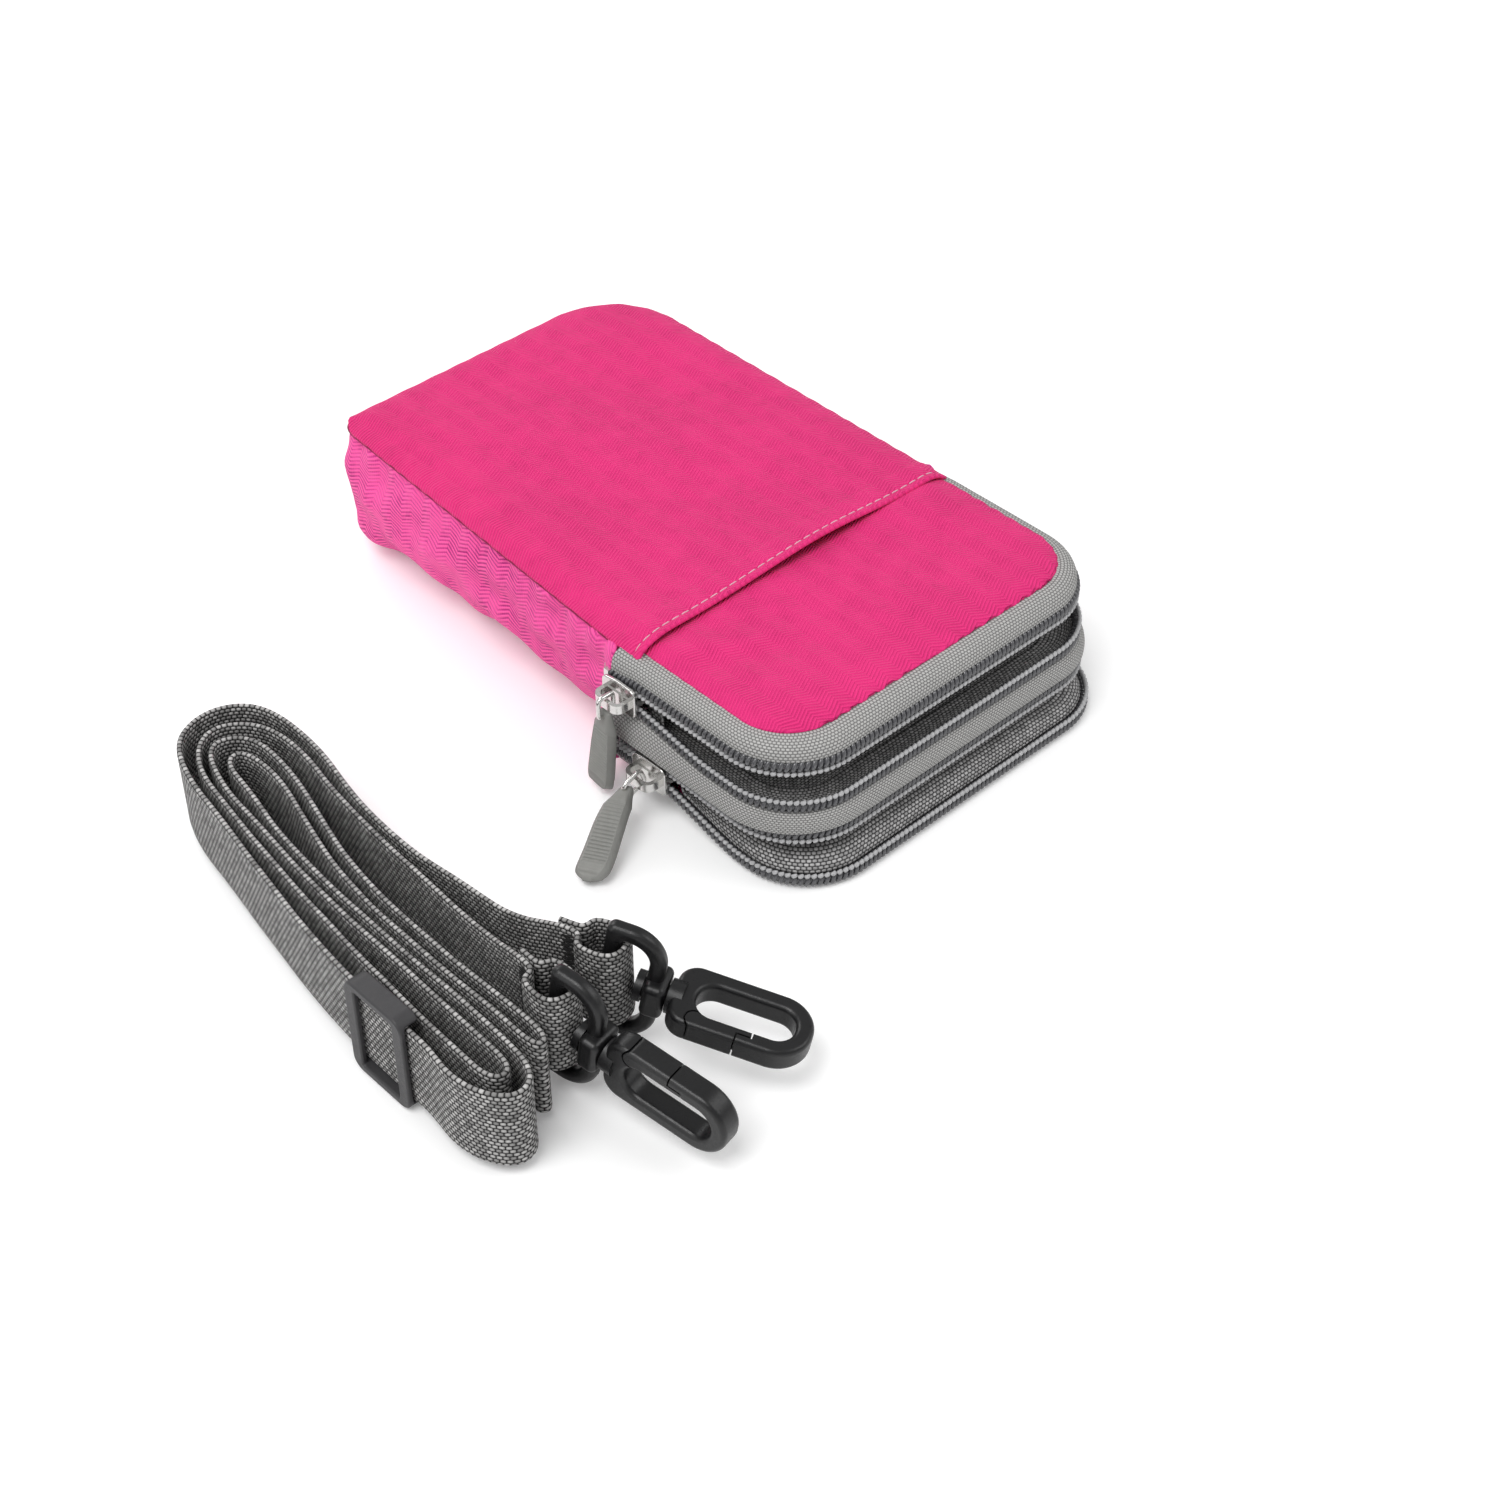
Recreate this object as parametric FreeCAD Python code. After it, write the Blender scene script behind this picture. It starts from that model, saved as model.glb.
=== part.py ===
import FreeCAD, Part
import math
import os

# A padded two-compartment phone pouch that lies on its back, with its zipped mouth towards -Y,
# and its detachable shoulder strap folded in a hank on the -X side.
# Millimetres. X is the pouch's width, Y its length, Z up. The origin is on the floor under the pouch.

V = FreeCAD.Vector
UP = V(0, 0, 1)

# Pouch plan
pouch_width = 96.0
far_end_y = 85.0
far_left_inset = 8.5
far_left_radius = 6.0
far_right_radius = 21.0
hem_y = -29.0
zip_start_y = -21.5

# Pouch heights
belt_loop_thickness = 1.5
belt_loop_gap = 1.0
pouch_depth = 33.5
back_edge_radius = 14.0
back_edge_steps = 5
fabric_thickness = 1.2
padding_thickness = 2.4
lining_thickness = 0.6
sewing_gap = 0.1
seam_margin = 2.0
divider_z = 17.0
divider_thickness = 1.6

# Slip pocket on the front
pocket_room = 0.8
pocket_rim = 5.0

# Mouth panels, each a tongue from the zip start to the mouth, set in from its coil by the tape's reach
front_tape_reach = 5.0
front_tongue_y = -71.5
front_tongue_radius = 13.0
divider_tape_reach = 4.5
divider_tongue_y = -74.0
divider_tongue_radius = 14.0
back_tape_reach = 4.0
back_tongue_y = -78.0
back_tongue_radius = 15.0

# Zips
zip_overhang = 1.5
zip_radius = 17.0
coil_thickness = 2.4
coil_height = 3.2
tape_thickness = 0.8
zip_end_gap = 2.0
upper_zip_z = 26.5
lower_zip_z = 10.0
front_coil_z = 29.8
front_coil_y = -77.0
divider_upper_coil_z = 19.6
divider_upper_coil_y = -78.5
divider_lower_coil_z = 13.6
divider_lower_coil_y = -79.5
back_coil_z = 2.2
back_coil_y = -82.5
closed_offset = 1.8
nose_offset = 3.0
open_run = 22.0
stop_thickness = 1.4
corner_steps = 7
left_run_shares = (0.0, 0.12, 0.3, 0.45, 0.65, 1.0)

# Zip sliders
upper_slider_y = -28.0
lower_slider_y = -37.0
slider_length = 10.5
slider_nose_height = 7.4
slider_tail_height = 6.0
slider_plate = 1.0
slider_play = 0.35
slider_post_length = 2.2
slider_post_height = 1.7
slider_corner = 1.6
slider_edge_round = 0.3
bridge_length = 8.2
bridge_width = 2.2
bridge_thickness = 1.0
bridge_clear = 3.0
bridge_round = 2.2
slider_shoulder_share = 0.1
closed_share = 0.2

# Pull links and rubber pulls
link_wire_radius = 0.55
link_half_width = 2.05
link_rise = 1.95
link_drop = 3.3
link_bend = 1.1
pull_length = 24.0
pull_width = 7.6
pull_waist = 6.6
pull_thickness = 2.6
pull_eye_height = 1.8
pull_running_clearance = 0.06
pull_edge_round = 0.7
pull_recess_depth = 0.35
pull_recess_margin = 1.3
pull_recess_start = 5.5
pull_rib_count = 12
pull_rib_share = 0.5
pull_neck_share = 0.46
pull_shoulder_share = 0.3
pull_end_share = 0.9
upper_link_swing = math.radians(0.0)
upper_pull_turn = math.radians(-8.0)
lower_link_swing = math.radians(70.0)
lower_pull_turn = math.radians(24.0)

# Back fittings
belt_loop_width = 62.0
belt_loop_length = 74.0
belt_loop_centre_y = 22.0
belt_loop_foot = 9.0
strap_loop_width = 10.0
strap_loop_length = 16.0
strap_loop_foot = 5.0
strap_loop_x = 31.0
strap_loop_y = -40.0

# Strap webbing
webbing_width = 20.0
webbing_thickness = 1.4
webbing_lift = 6.8
arc_share = 0.45
fold_share = 0.6
end_loop_inner_radius = 3.7
end_loop_neck = 6.3
tack_length = 3.0
tack_thickness = 0.4
tack_margin = 1.5
# Plan points of the folded strap, from the near hook's loop to the far hook's loop
strap_route = [
    (-115.2, -60.5), (-113.8, -36.0), (-112.2, -10.0), (-108.4, 9.0), (-109.8, 22.5), (-118.6, 28.6),
    (-127.4, 21.5), (-130.8, 2.0), (-134.4, -26.0), (-136.8, -54.0), (-137.9, -78.0), (-138.0, -90.0),
    (-132.8, -90.6), (-132.6, -78.0), (-131.8, -54.0), (-131.4, -28.0), (-128.7, -4.0), (-127.0, 12.6),
    (-122.0, 24.6), (-113.6, 20.5), (-113.8, 6.0), (-118.0, -10.0), (-122.6, -28.0), (-123.9, -54.0),
    (-123.2, -77.0), (-123.2, -89.0), (-126.6, -89.2), (-126.4, -77.0), (-126.8, -54.0), (-125.9, -30.0),
    (-121.6, -11.0), (-117.0, 4.5), (-117.4, 17.4), (-122.4, 17.2), (-124.2, 5.0), (-127.4, -10.0),
    (-128.9, -30.0), (-129.3, -54.0), (-129.2, -80.0), (-130.6, -94.4), (-137.8, -96.6), (-143.2, -86.5),
    (-141.3, -73.0), (-141.0, -46.0), (-137.6, -22.0), (-133.4, 2.0), (-130.6, 20.0), (-125.4, 30.6),
    (-115.0, 33.6), (-106.0, 27.0), (-104.9, 10.0), (-109.4, -10.0), (-111.0, -28.0), (-109.2, -46.0),
    (-108.1, -61.0),
]
near_loop_route = (-115.7, -72.2)
far_loop_route = (-104.7, -71.0)

# Strap adjuster
adjuster_y = -61.0
adjuster_point_count = 42
adjuster_length = 18.0
adjuster_bar = 3.2
adjuster_plate = 1.3
adjuster_end_bar = 2.0
adjuster_play = 0.35
adjuster_edge_round = 0.5
adjuster_corner = 3.0
adjuster_bar_seat = 0.5

# Swivel eyes and snap hooks
eye_section = 3.4
eye_inner_height = 23.4
eye_inner_depth = 7.9
eye_arch_radius = 8.0
eye_edge_round = 1.4
eye_block_width = 8.2
eye_block_height = 8.4
eye_block_depth = 4.6
stem_radius = 2.0
stem_clearance = 0.06
stem_head_radius = 3.2
stem_head_depth = 1.6
stem_play = 0.3
collar_radius = 3.6
collar_depth = 1.8
hook_length = 28.5
hook_width = 15.2
hook_bar = 3.6
hook_thickness = 5.4
hook_edge_round = 1.1
hook_neck = 4.8
gate_gap = 0.35
gate_end_share = 0.62
gate_lap = 3.0
gate_root_radius = 1.75
hook_nose_share = 0.97
hook_neck_share = 0.55
near_tilt = math.radians(9.0)
far_tilt = math.radians(10.0)
near_heading = math.radians(11.5)
far_heading = math.radians(30.0)
near_roll = math.radians(90.0)
far_roll = math.radians(0.0)

overrun = 5.0

# Levels and places that follow
back_z = belt_loop_thickness + belt_loop_gap
front_z = back_z + pouch_depth
front_inner_z = front_z - fabric_thickness
back_inner_z = back_z + fabric_thickness
half_width = pouch_width / 2.0
zip_half_width = half_width + zip_overhang
front_tongue_half_width = zip_half_width - front_tape_reach
divider_tongue_half_width = zip_half_width - divider_tape_reach
back_tongue_half_width = zip_half_width - back_tape_reach
front_tongue_values = (front_tongue_half_width, front_tongue_y, front_tongue_radius)
divider_tongue_values = (divider_tongue_half_width, divider_tongue_y, divider_tongue_radius)
back_tongue_values = (back_tongue_half_width, back_tongue_y, back_tongue_radius)
hank_lift = adjuster_end_bar + adjuster_play
adjuster_x = (strap_route[adjuster_point_count][0] + strap_route[adjuster_point_count + 1][0]) / 2.0
eye_block_end = eye_inner_depth + eye_block_depth
gate_root_u = eye_block_end + stem_play + collar_depth + hook_neck
link_axis_x = -(
    zip_half_width + coil_thickness / 2.0 + slider_play + slider_plate + bridge_clear + bridge_thickness / 2.0
)


def save(name, shape):
    """Writes one named piece."""
    shape.exportStep("parts/%s.step" % name)
    print("%-24s solids %d volume %.1f valid %s" % (name, len(shape.Solids), shape.Volume, shape.isValid()))


def box(low, high):
    """A box between two corners."""
    return Part.makeBox(high[0] - low[0], high[1] - low[1], high[2] - low[2], V(*low))


def sheet(wire, low, high):
    """A flat sheet over a plan outline at height zero."""
    face = Part.Face(wire)
    face.translate(V(0, 0, low))
    return face.extrude(V(0, 0, high - low))


def rounded_loop(points, radii):
    """A closed outline with its corners rounded to arcs."""
    count = len(points)
    arcs, starts, ends = [], [], []
    for i in range(count):
        here = points[i]
        to_last = (points[i - 1] - here).normalize()
        to_next = (points[(i + 1) % count] - here).normalize()
        half = to_last.getAngle(to_next) / 2.0
        middle = (to_last + to_next).normalize()
        starts.append(here + to_last * (radii[i] / math.tan(half)))
        ends.append(here + to_next * (radii[i] / math.tan(half)))
        crown = here + middle * (radii[i] / math.sin(half) - radii[i])
        arcs.append(Part.Arc(starts[i], crown, ends[i]).toShape())
    edges = []
    for i in range(count):
        edges.append(arcs[i])
        edges.append(Part.LineSegment(ends[i], starts[(i + 1) % count]).toShape())
    return Part.Wire(edges)


def ruled(wires):
    """A closed solid ruled from each outline to the next."""
    return Part.makeLoft(wires, True, True)


def round_edges(shape, radius):
    """Rounds every edge of a moulded or cast piece."""
    return shape.makeFillet(radius, shape.Edges)


# Pouch walls


def body_outline(inset):
    """Plan of the closed part of the pouch, which narrows on the left towards its far end."""
    front_y = zip_start_y - overrun
    points = [
        V(half_width - inset, far_end_y - inset, 0),
        V(-half_width + far_left_inset + inset, far_end_y - inset, 0),
        V(-half_width + inset, front_y, 0),
        V(half_width - inset, front_y, 0),
    ]
    left = max(far_left_radius - inset, fabric_thickness)
    right = max(far_right_radius - inset, fabric_thickness)
    return rounded_loop(points, [right, left, fabric_thickness, fabric_thickness])


def behind_zips(shape):
    """Keeps what lies behind the zip start."""
    return shape.common(box((-pouch_width, zip_start_y, 0), (pouch_width, far_end_y + overrun, front_z + overrun)))


def body_form(inset):
    """The closed part set in by one layer: upright sides above a round back edge."""
    radius = back_edge_radius - inset
    wires = []
    for step in range(back_edge_steps + 1):
        angle = math.pi / 2.0 * step / back_edge_steps
        wire = body_outline(inset + radius * (1.0 - math.sin(angle)))
        wire.translate(V(0, 0, back_z + back_edge_radius - radius * math.cos(angle)))
        wires.append(wire)
    top = body_outline(inset)
    top.translate(V(0, 0, front_inner_z))
    wires.append(top)
    return ruled(wires)


def tongue(values, margin, low, high):
    """A flat sheet from the zip start to the mouth, with round mouth corners."""
    tongue_half_width, mouth_y, radius = values
    side = tongue_half_width - margin
    points = [
        V(side, zip_start_y + overrun, 0),
        V(-side, zip_start_y + overrun, 0),
        V(-side, mouth_y + margin, 0),
        V(side, mouth_y + margin, 0),
    ]
    small = fabric_thickness
    whole = sheet(rounded_loop(points, [small, small, radius - margin, radius - margin]), low, high)
    return whole.common(box((-pouch_width, mouth_y - overrun, low), (pouch_width, zip_start_y, high)))


def layer(inset, values, margin, low, high):
    """One flat layer of the pouch: its closed part and its mouth tongue in one piece."""
    closed = behind_zips(sheet(body_outline(inset), low, high))
    return closed.fuse(tongue(values, margin, low, high)).removeSplitter()


def make_walls():
    """Front, side and back walls with their padding and lining, and the divider."""
    wall = behind_zips(body_form(0).cut(body_form(fabric_thickness)))
    inner_wall = behind_zips(body_form(fabric_thickness).cut(body_form(fabric_thickness + lining_thickness)))
    flat_back = sheet(body_outline(back_edge_radius), 0, back_z + back_edge_radius / 2.0)
    back_tongue = tongue(back_tongue_values, 0, back_z, back_inner_z)
    save("back_panel", wall.common(flat_back).fuse(back_tongue).removeSplitter())
    save("side_gusset", wall.cut(flat_back))
    save("gusset_lining", inner_wall.cut(flat_back))
    save("front_panel", layer(0, front_tongue_values, 0, front_inner_z, front_z))
    low = front_inner_z - padding_thickness
    save("front_padding", layer(seam_margin, front_tongue_values, seam_margin, low, front_inner_z))
    save("front_lining", layer(seam_margin, front_tongue_values, seam_margin, low - lining_thickness, low))
    high = back_inner_z + padding_thickness
    inset = back_edge_radius + sewing_gap
    save("back_padding", layer(inset, back_tongue_values, seam_margin, back_inner_z, high))
    save("back_lining", layer(inset, back_tongue_values, seam_margin, high, high + lining_thickness))
    inset = fabric_thickness + lining_thickness + sewing_gap
    low = divider_z - divider_thickness / 2.0
    save("divider", layer(inset, divider_tongue_values, 0, low, low + divider_thickness))


def make_slip_pocket():
    """The card pocket: a sheet sewn to the front at three sides, open at its hem."""
    high = front_z + pocket_room + fabric_thickness
    outer = sheet(body_outline(0), front_z, high)
    room = sheet(body_outline(pocket_rim), front_z - overrun, front_z + pocket_room)
    span = box((-pouch_width, hem_y, front_z - overrun), (pouch_width, far_end_y + overrun, high))
    save("slip_pocket", outer.cut(room).common(span))


def make_back_fittings():
    """The belt loop and the two strap loops, sewn flat to the back at both ends."""
    half = belt_loop_width / 2.0
    low_y = belt_loop_centre_y - belt_loop_length / 2.0
    high_y = belt_loop_centre_y + belt_loop_length / 2.0
    loop = box((-half, low_y, 0), (half, high_y, back_z))
    room = box(
        (-half - overrun, low_y + belt_loop_foot, belt_loop_thickness),
        (half + overrun, high_y - belt_loop_foot, back_z),
    )
    save("belt_loop", loop.cut(room))
    for name, side in (("strap_loop_left", -1.0), ("strap_loop_right", 1.0)):
        centre_x = side * strap_loop_x
        near_x = centre_x - strap_loop_length / 2.0
        far_x = centre_x + strap_loop_length / 2.0
        near_y = strap_loop_y - strap_loop_width / 2.0
        far_y = strap_loop_y + strap_loop_width / 2.0
        loop = box((near_x, near_y, 0), (far_x, far_y, back_z))
        room = box(
            (near_x + strap_loop_foot, near_y - overrun, belt_loop_thickness),
            (far_x - strap_loop_foot, far_y + overrun, back_z),
        )
        save(name, loop.cut(room))


# Zips


def mouth_path(side, mouth_y, radius):
    """Stations round the mouth from the left zip start to the right: point, outward direction."""
    corner_y = mouth_y + radius
    start_y = zip_start_y - zip_end_gap
    stations = []
    for share in left_run_shares:
        stations.append((V(-side, start_y + (corner_y - start_y) * share, 0), V(-1, 0, 0)))
    for step in range(1, corner_steps + 1):
        angle = math.pi + math.pi / 2.0 * step / corner_steps
        out = V(math.cos(angle), math.sin(angle), 0)
        stations.append((V(-side + radius, corner_y, 0) + out * radius, out))
    mirrored = []
    for point, out in reversed(stations):
        mirrored.append((V(-point.x, point.y, 0), V(-out.x, out.y, 0)))
    return stations + mirrored


def coil_height_at(y, slider_y, zip_z, open_z):
    """A coil leaves the closed zip at its slider and spreads to its open height."""
    sign = 1.0 if open_z > zip_z else -1.0
    closed_y = slider_y + slider_length * closed_share
    nose_y = slider_y - slider_length / 2.0 + slider_post_length
    if y >= closed_y:
        return zip_z + sign * closed_offset
    if y >= nose_y:
        share = (closed_y - y) / (closed_y - nose_y)
        return zip_z + sign * (closed_offset + (nose_offset - closed_offset) * share)
    share = min(1.0, (nose_y - y) / open_run)
    return zip_z + sign * nose_offset + (open_z - zip_z - sign * nose_offset) * share


def quad(point, out, corners):
    """A four-sided section across a path, from distances outward and heights."""
    ring = [point + out * reach + UP * height for reach, height in corners]
    return Part.makePolygon(ring + ring[:1])


def make_zip_half(name, slider_y, zip_z, open_z, mouth_y, rim_values, rim_z, inward):
    """One coil round the mouth, and the tape that joins it to its panel's rim."""
    coil_path = mouth_path(zip_half_width, mouth_y, zip_radius)
    rim_side, rim_y, rim_radius = rim_values
    rim_path = mouth_path(rim_side + sewing_gap, rim_y - sewing_gap, rim_radius + sewing_gap)
    coil, tape = [], []
    across = coil_thickness / 2.0
    along = coil_height / 2.0
    half = tape_thickness / 2.0
    for (point, out), (rim, _) in zip(coil_path, rim_path):
        height = coil_height_at(point.y, slider_y, zip_z, open_z)
        low, high = height - along, height + along
        coil.append(quad(point, out, [(-across, low), (across, low), (across, high), (-across, high)]))
        sewn = height + math.copysign(along + half + sewing_gap, open_z - zip_z)
        sewn = max(sewn, half + sewing_gap)
        seam = point - out * inward
        corners = [
            V(rim.x, rim.y, rim_z - half),
            V(seam.x, seam.y, sewn - half),
            V(seam.x, seam.y, sewn + half),
            V(rim.x, rim.y, rim_z + half),
        ]
        tape.append(Part.makePolygon(corners + corners[:1]))
    save(name + "_coil", ruled(coil))
    save(name + "_tape", ruled(tape))


def make_zips():
    """Both zips, lying open, with the stops at their two ends."""
    half = divider_thickness / 2.0 - tape_thickness / 2.0
    make_zip_half("front", upper_slider_y, upper_zip_z, front_coil_z, front_coil_y, front_tongue_values,
                  front_z - tape_thickness, 0)
    make_zip_half("divider_upper", upper_slider_y, upper_zip_z, divider_upper_coil_z, divider_upper_coil_y,
                  divider_tongue_values, divider_z + half + sewing_gap, 0)
    make_zip_half("divider_lower", lower_slider_y, lower_zip_z, divider_lower_coil_z, divider_lower_coil_y,
                  divider_tongue_values, divider_z - half - sewing_gap, 0)
    make_zip_half("back", lower_slider_y, lower_zip_z, back_coil_z, back_coil_y, back_tongue_values,
                  back_z + tape_thickness, coil_thickness / 2.0 + sewing_gap)
    for name, zip_z in (("upper_zip_stops", upper_zip_z), ("lower_zip_stops", lower_zip_z)):
        reach = coil_thickness / 2.0
        rise = closed_offset + coil_height / 2.0
        high_y = zip_start_y - zip_end_gap + stop_thickness + sewing_gap
        stops = []
        for side in (-zip_half_width, zip_half_width):
            low_corner = (side - reach, high_y - stop_thickness, zip_z - rise)
            stops.append(box(low_corner, (side + reach, high_y, zip_z + rise)))
        save(name, Part.makeCompound(stops))


# Sliders and pulls


def slider_plate_face(x, slider_y, zip_z):
    """The side view of a slider: wide at its nose, narrow at its tail."""
    nose = slider_y - slider_length / 2.0
    tail = slider_y + slider_length / 2.0
    shoulder = slider_y + slider_length * slider_shoulder_share
    rise = slider_nose_height / 2.0
    low = slider_tail_height / 2.0
    points = [
        V(x, nose, zip_z - rise), V(x, shoulder, zip_z - rise), V(x, tail, zip_z - low),
        V(x, tail, zip_z + low), V(x, shoulder, zip_z + rise), V(x, nose, zip_z + rise),
    ]
    return Part.Face(rounded_loop(points, [slider_corner] * len(points)))


def make_slider(name, slider_y, zip_z):
    """A metal slider: two plates over the coils, a post between them and the bridge for the link."""
    gap = coil_thickness / 2.0 + slider_play
    outer_x = -zip_half_width - gap
    inner_x = -zip_half_width + gap
    plates = []
    for x in (outer_x - slider_plate, inner_x):
        plate = slider_plate_face(x, slider_y, zip_z).extrude(V(slider_plate, 0, 0))
        plates.append(round_edges(plate, slider_edge_round))
    nose = slider_y - slider_length / 2.0 + slider_edge_round
    post = box(
        (outer_x - slider_edge_round, nose, zip_z - slider_post_height / 2.0),
        (inner_x + slider_edge_round, nose + slider_post_length, zip_z + slider_post_height / 2.0),
    )
    face_x = outer_x - slider_plate
    low_y = slider_y - bridge_length / 2.0
    high_y = slider_y + bridge_length / 2.0
    half = bridge_width / 2.0
    top_x = face_x - bridge_clear - bridge_thickness
    points = [V(face_x, low_y, 0), V(top_x, low_y, 0), V(top_x, high_y, 0), V(face_x, high_y, 0)]
    small = slider_edge_round
    arch = sheet(rounded_loop(points, [small, bridge_round, bridge_round, small]), zip_z - half, zip_z + half)
    inner = [
        V(face_x + overrun, low_y + bridge_thickness, 0),
        V(top_x + bridge_thickness, low_y + bridge_thickness, 0),
        V(top_x + bridge_thickness, high_y - bridge_thickness, 0),
        V(face_x + overrun, high_y - bridge_thickness, 0),
    ]
    inner_round = bridge_round - bridge_thickness
    room = sheet(rounded_loop(inner, [small, inner_round, inner_round, small]), 0, zip_z + overrun)
    arch = arch.cut(room)
    arch = arch.fuse(box((face_x - small, low_y, zip_z - half), (face_x + small, high_y, zip_z + half)))
    save(name, plates[0].fuse([plates[1], post, arch]).removeSplitter())


def rubber_pull(eye, along, across):
    """A rubber pull from its eye: waisted, round-ended, with fine ribs in a recess on its face."""
    normal = across.cross(along)
    tip = pull_length - pull_eye_height
    half = pull_width / 2.0
    waist = pull_waist / 2.0
    neck = pull_width * pull_neck_share / 2.0
    points = [
        (-pull_eye_height, -neck), (pull_length * pull_shoulder_share, -waist), (tip, -half),
        (tip, half), (pull_length * pull_shoulder_share, waist), (-pull_eye_height, neck),
    ]
    corners = [V(x, y, 0) for x, y in points]
    end = half * pull_end_share
    outline = rounded_loop(corners, [pull_eye_height * pull_end_share, waist, end, end, waist,
                                     pull_eye_height * pull_end_share])
    thick = pull_thickness / 2.0
    body = round_edges(sheet(outline, -thick, thick), pull_edge_round)
    start = pull_recess_start
    side = waist - pull_recess_margin
    stop = tip - pull_recess_margin
    pitch = (stop - start) / pull_rib_count
    for face_low, face_high in ((thick - pull_recess_depth, thick + overrun),
                                (-thick - overrun, -thick + pull_recess_depth)):
        for rib in range(pull_rib_count):
            low = start + pitch * rib
            groove = box((low, -side, face_low), (low + pitch * pull_rib_share, side, face_high))
            body = body.cut(groove)
    hole = Part.makeCylinder(
        link_wire_radius + pull_running_clearance, pull_thickness + overrun * 2.0,
        V(0, 0, -thick - overrun),
    )
    body = body.cut(hole)
    turn = FreeCAD.Matrix(
        along.x, across.x, -normal.x, eye.x,
        along.y, across.y, -normal.y, eye.y,
        along.z, across.z, -normal.z, eye.z,
        0, 0, 0, 1,
    )
    return body.transformGeometry(turn)


def link_frame(swing, slider_y, zip_z):
    """Where a link hangs on its bridge: the bridge's centre, the link's length and its end bar."""
    centre = V(link_axis_x, slider_y, zip_z)
    along = V(-math.sin(swing), 0, -math.cos(swing))
    bar = V(-math.cos(swing), 0, math.sin(swing))
    return centre, along, bar


def make_pull(name, slider_y, zip_z, swing, turn):
    """A wire link on the slider's bridge, and the rubber pull on the link's end bar."""
    centre, along, bar = link_frame(swing, slider_y, zip_z)
    points = []
    for side, reach in ((1.0, -link_rise), (1.0, link_drop), (-1.0, link_drop), (-1.0, -link_rise)):
        points.append(centre + bar * (side * link_half_width) + along * reach)
    path = rounded_loop(points, [link_bend] * len(points))
    start = path.Edges[0].valueAt(path.Edges[0].FirstParameter)
    section = Part.Wire(Part.makeCircle(link_wire_radius, start, path.Edges[0].tangentAt(
        path.Edges[0].FirstParameter)))
    save(name + "_link", path.makePipeShell([section], True, False))
    eye = centre + along * link_drop
    heading = along * math.cos(turn) + V(0, -1, 0) * math.sin(turn)
    save(name + "_pull", rubber_pull(eye, heading, bar.cross(heading)))
    print(name, "link", centre, "pull", eye, bar)


# Strap


def route_edges(points):
    """Straight runs joined by tangent arcs, each arc as large as its two runs allow."""
    places = [V(x, y, 0) for x, y in points]
    edges, radii = [], []
    last = places[0]
    for i in range(1, len(places) - 1):
        before = places[i] - places[i - 1]
        after = places[i + 1] - places[i]
        turn = before.getAngle(after)
        reach = arc_share * min(before.Length, after.Length)
        radius = reach / math.tan(turn / 2.0)
        back = (places[i - 1] - places[i]).normalize()
        ahead = (places[i + 1] - places[i]).normalize()
        middle = (back + ahead).normalize()
        crown = places[i] + middle * (radius / math.cos(turn / 2.0) - radius)
        start = places[i] + back * reach
        end = places[i] + ahead * reach
        edges.append((last, None, start))
        edges.append((start, crown, end))
        radii.append(radius)
        last = end
    edges.append((last, None, places[-1]))
    return edges, radii


def side_of(direction):
    """The plan direction to the left of a direction."""
    return V(-direction.y, direction.x, 0)


def run_direction(start, crown, end, at_end):
    """The direction of a run or an arc at one of its ends."""
    if crown is None:
        return (end - start).normalize()
    edge = Part.Arc(start, crown, end).toShape()
    where = edge.LastParameter if at_end else edge.FirstParameter
    tangent = edge.tangentAt(where)
    return tangent if tangent.dot(end - start) > 0 else tangent * -1.0


def offset_edges(edges, distance):
    """The route's edges moved sideways."""
    moved = []
    for start, crown, end in edges:
        first = start + side_of(run_direction(start, crown, end, False)) * distance
        final = end + side_of(run_direction(start, crown, end, True)) * distance
        if crown is None:
            moved.append(Part.LineSegment(first, final).toShape())
            continue
        across = side_of((end - start).normalize())
        moved.append(Part.Arc(first, crown + across * distance, final).toShape())
    return moved


def band(edges, low, high):
    """A strip of webbing on its edge along the route."""
    half = webbing_thickness / 2.0
    left = offset_edges(edges, half)
    right = offset_edges(edges, -half)
    caps = []
    for edge_a, edge_b, at_end in ((left[0], right[0], False), (left[-1], right[-1], True)):
        ends = []
        for edge in (edge_a, edge_b):
            ends.append(edge.Vertexes[-1].Point if at_end else edge.Vertexes[0].Point)
        caps.append(Part.LineSegment(ends[0], ends[1]).toShape())
    wire = Part.Wire(Part.__sortEdges__(left + right + caps))
    return sheet(wire, low, high)


def sample_route(edges, pitch):
    """Points along the route at about one pitch, with their distance along it."""
    samples = []
    travelled = 0.0
    for start, crown, end in edges:
        if crown is None:
            edge = Part.LineSegment(start, end).toShape()
        else:
            edge = Part.Arc(start, crown, end).toShape()
        count = max(2, int(edge.Length / pitch))
        for point in edge.discretize(count)[:-1]:
            samples.append((travelled + (point - start).Length, point))
        travelled += edge.Length
    return samples, travelled


def report_gap(edges):
    """Prints the least gap between the strap's layers, measured on points of its route."""
    samples, length = sample_route(edges, webbing_thickness)
    least = length
    where = None
    for i, (here, point) in enumerate(samples):
        for there, other in samples[i + 1:]:
            if there - here < fold_share * webbing_width:
                continue
            distance = (point - other).Length - webbing_thickness
            if distance < least:
                least = distance
                where = (point, other)
    print("strap route %.1f mm, least gap between layers %.2f mm" % (length, least), where)


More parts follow.
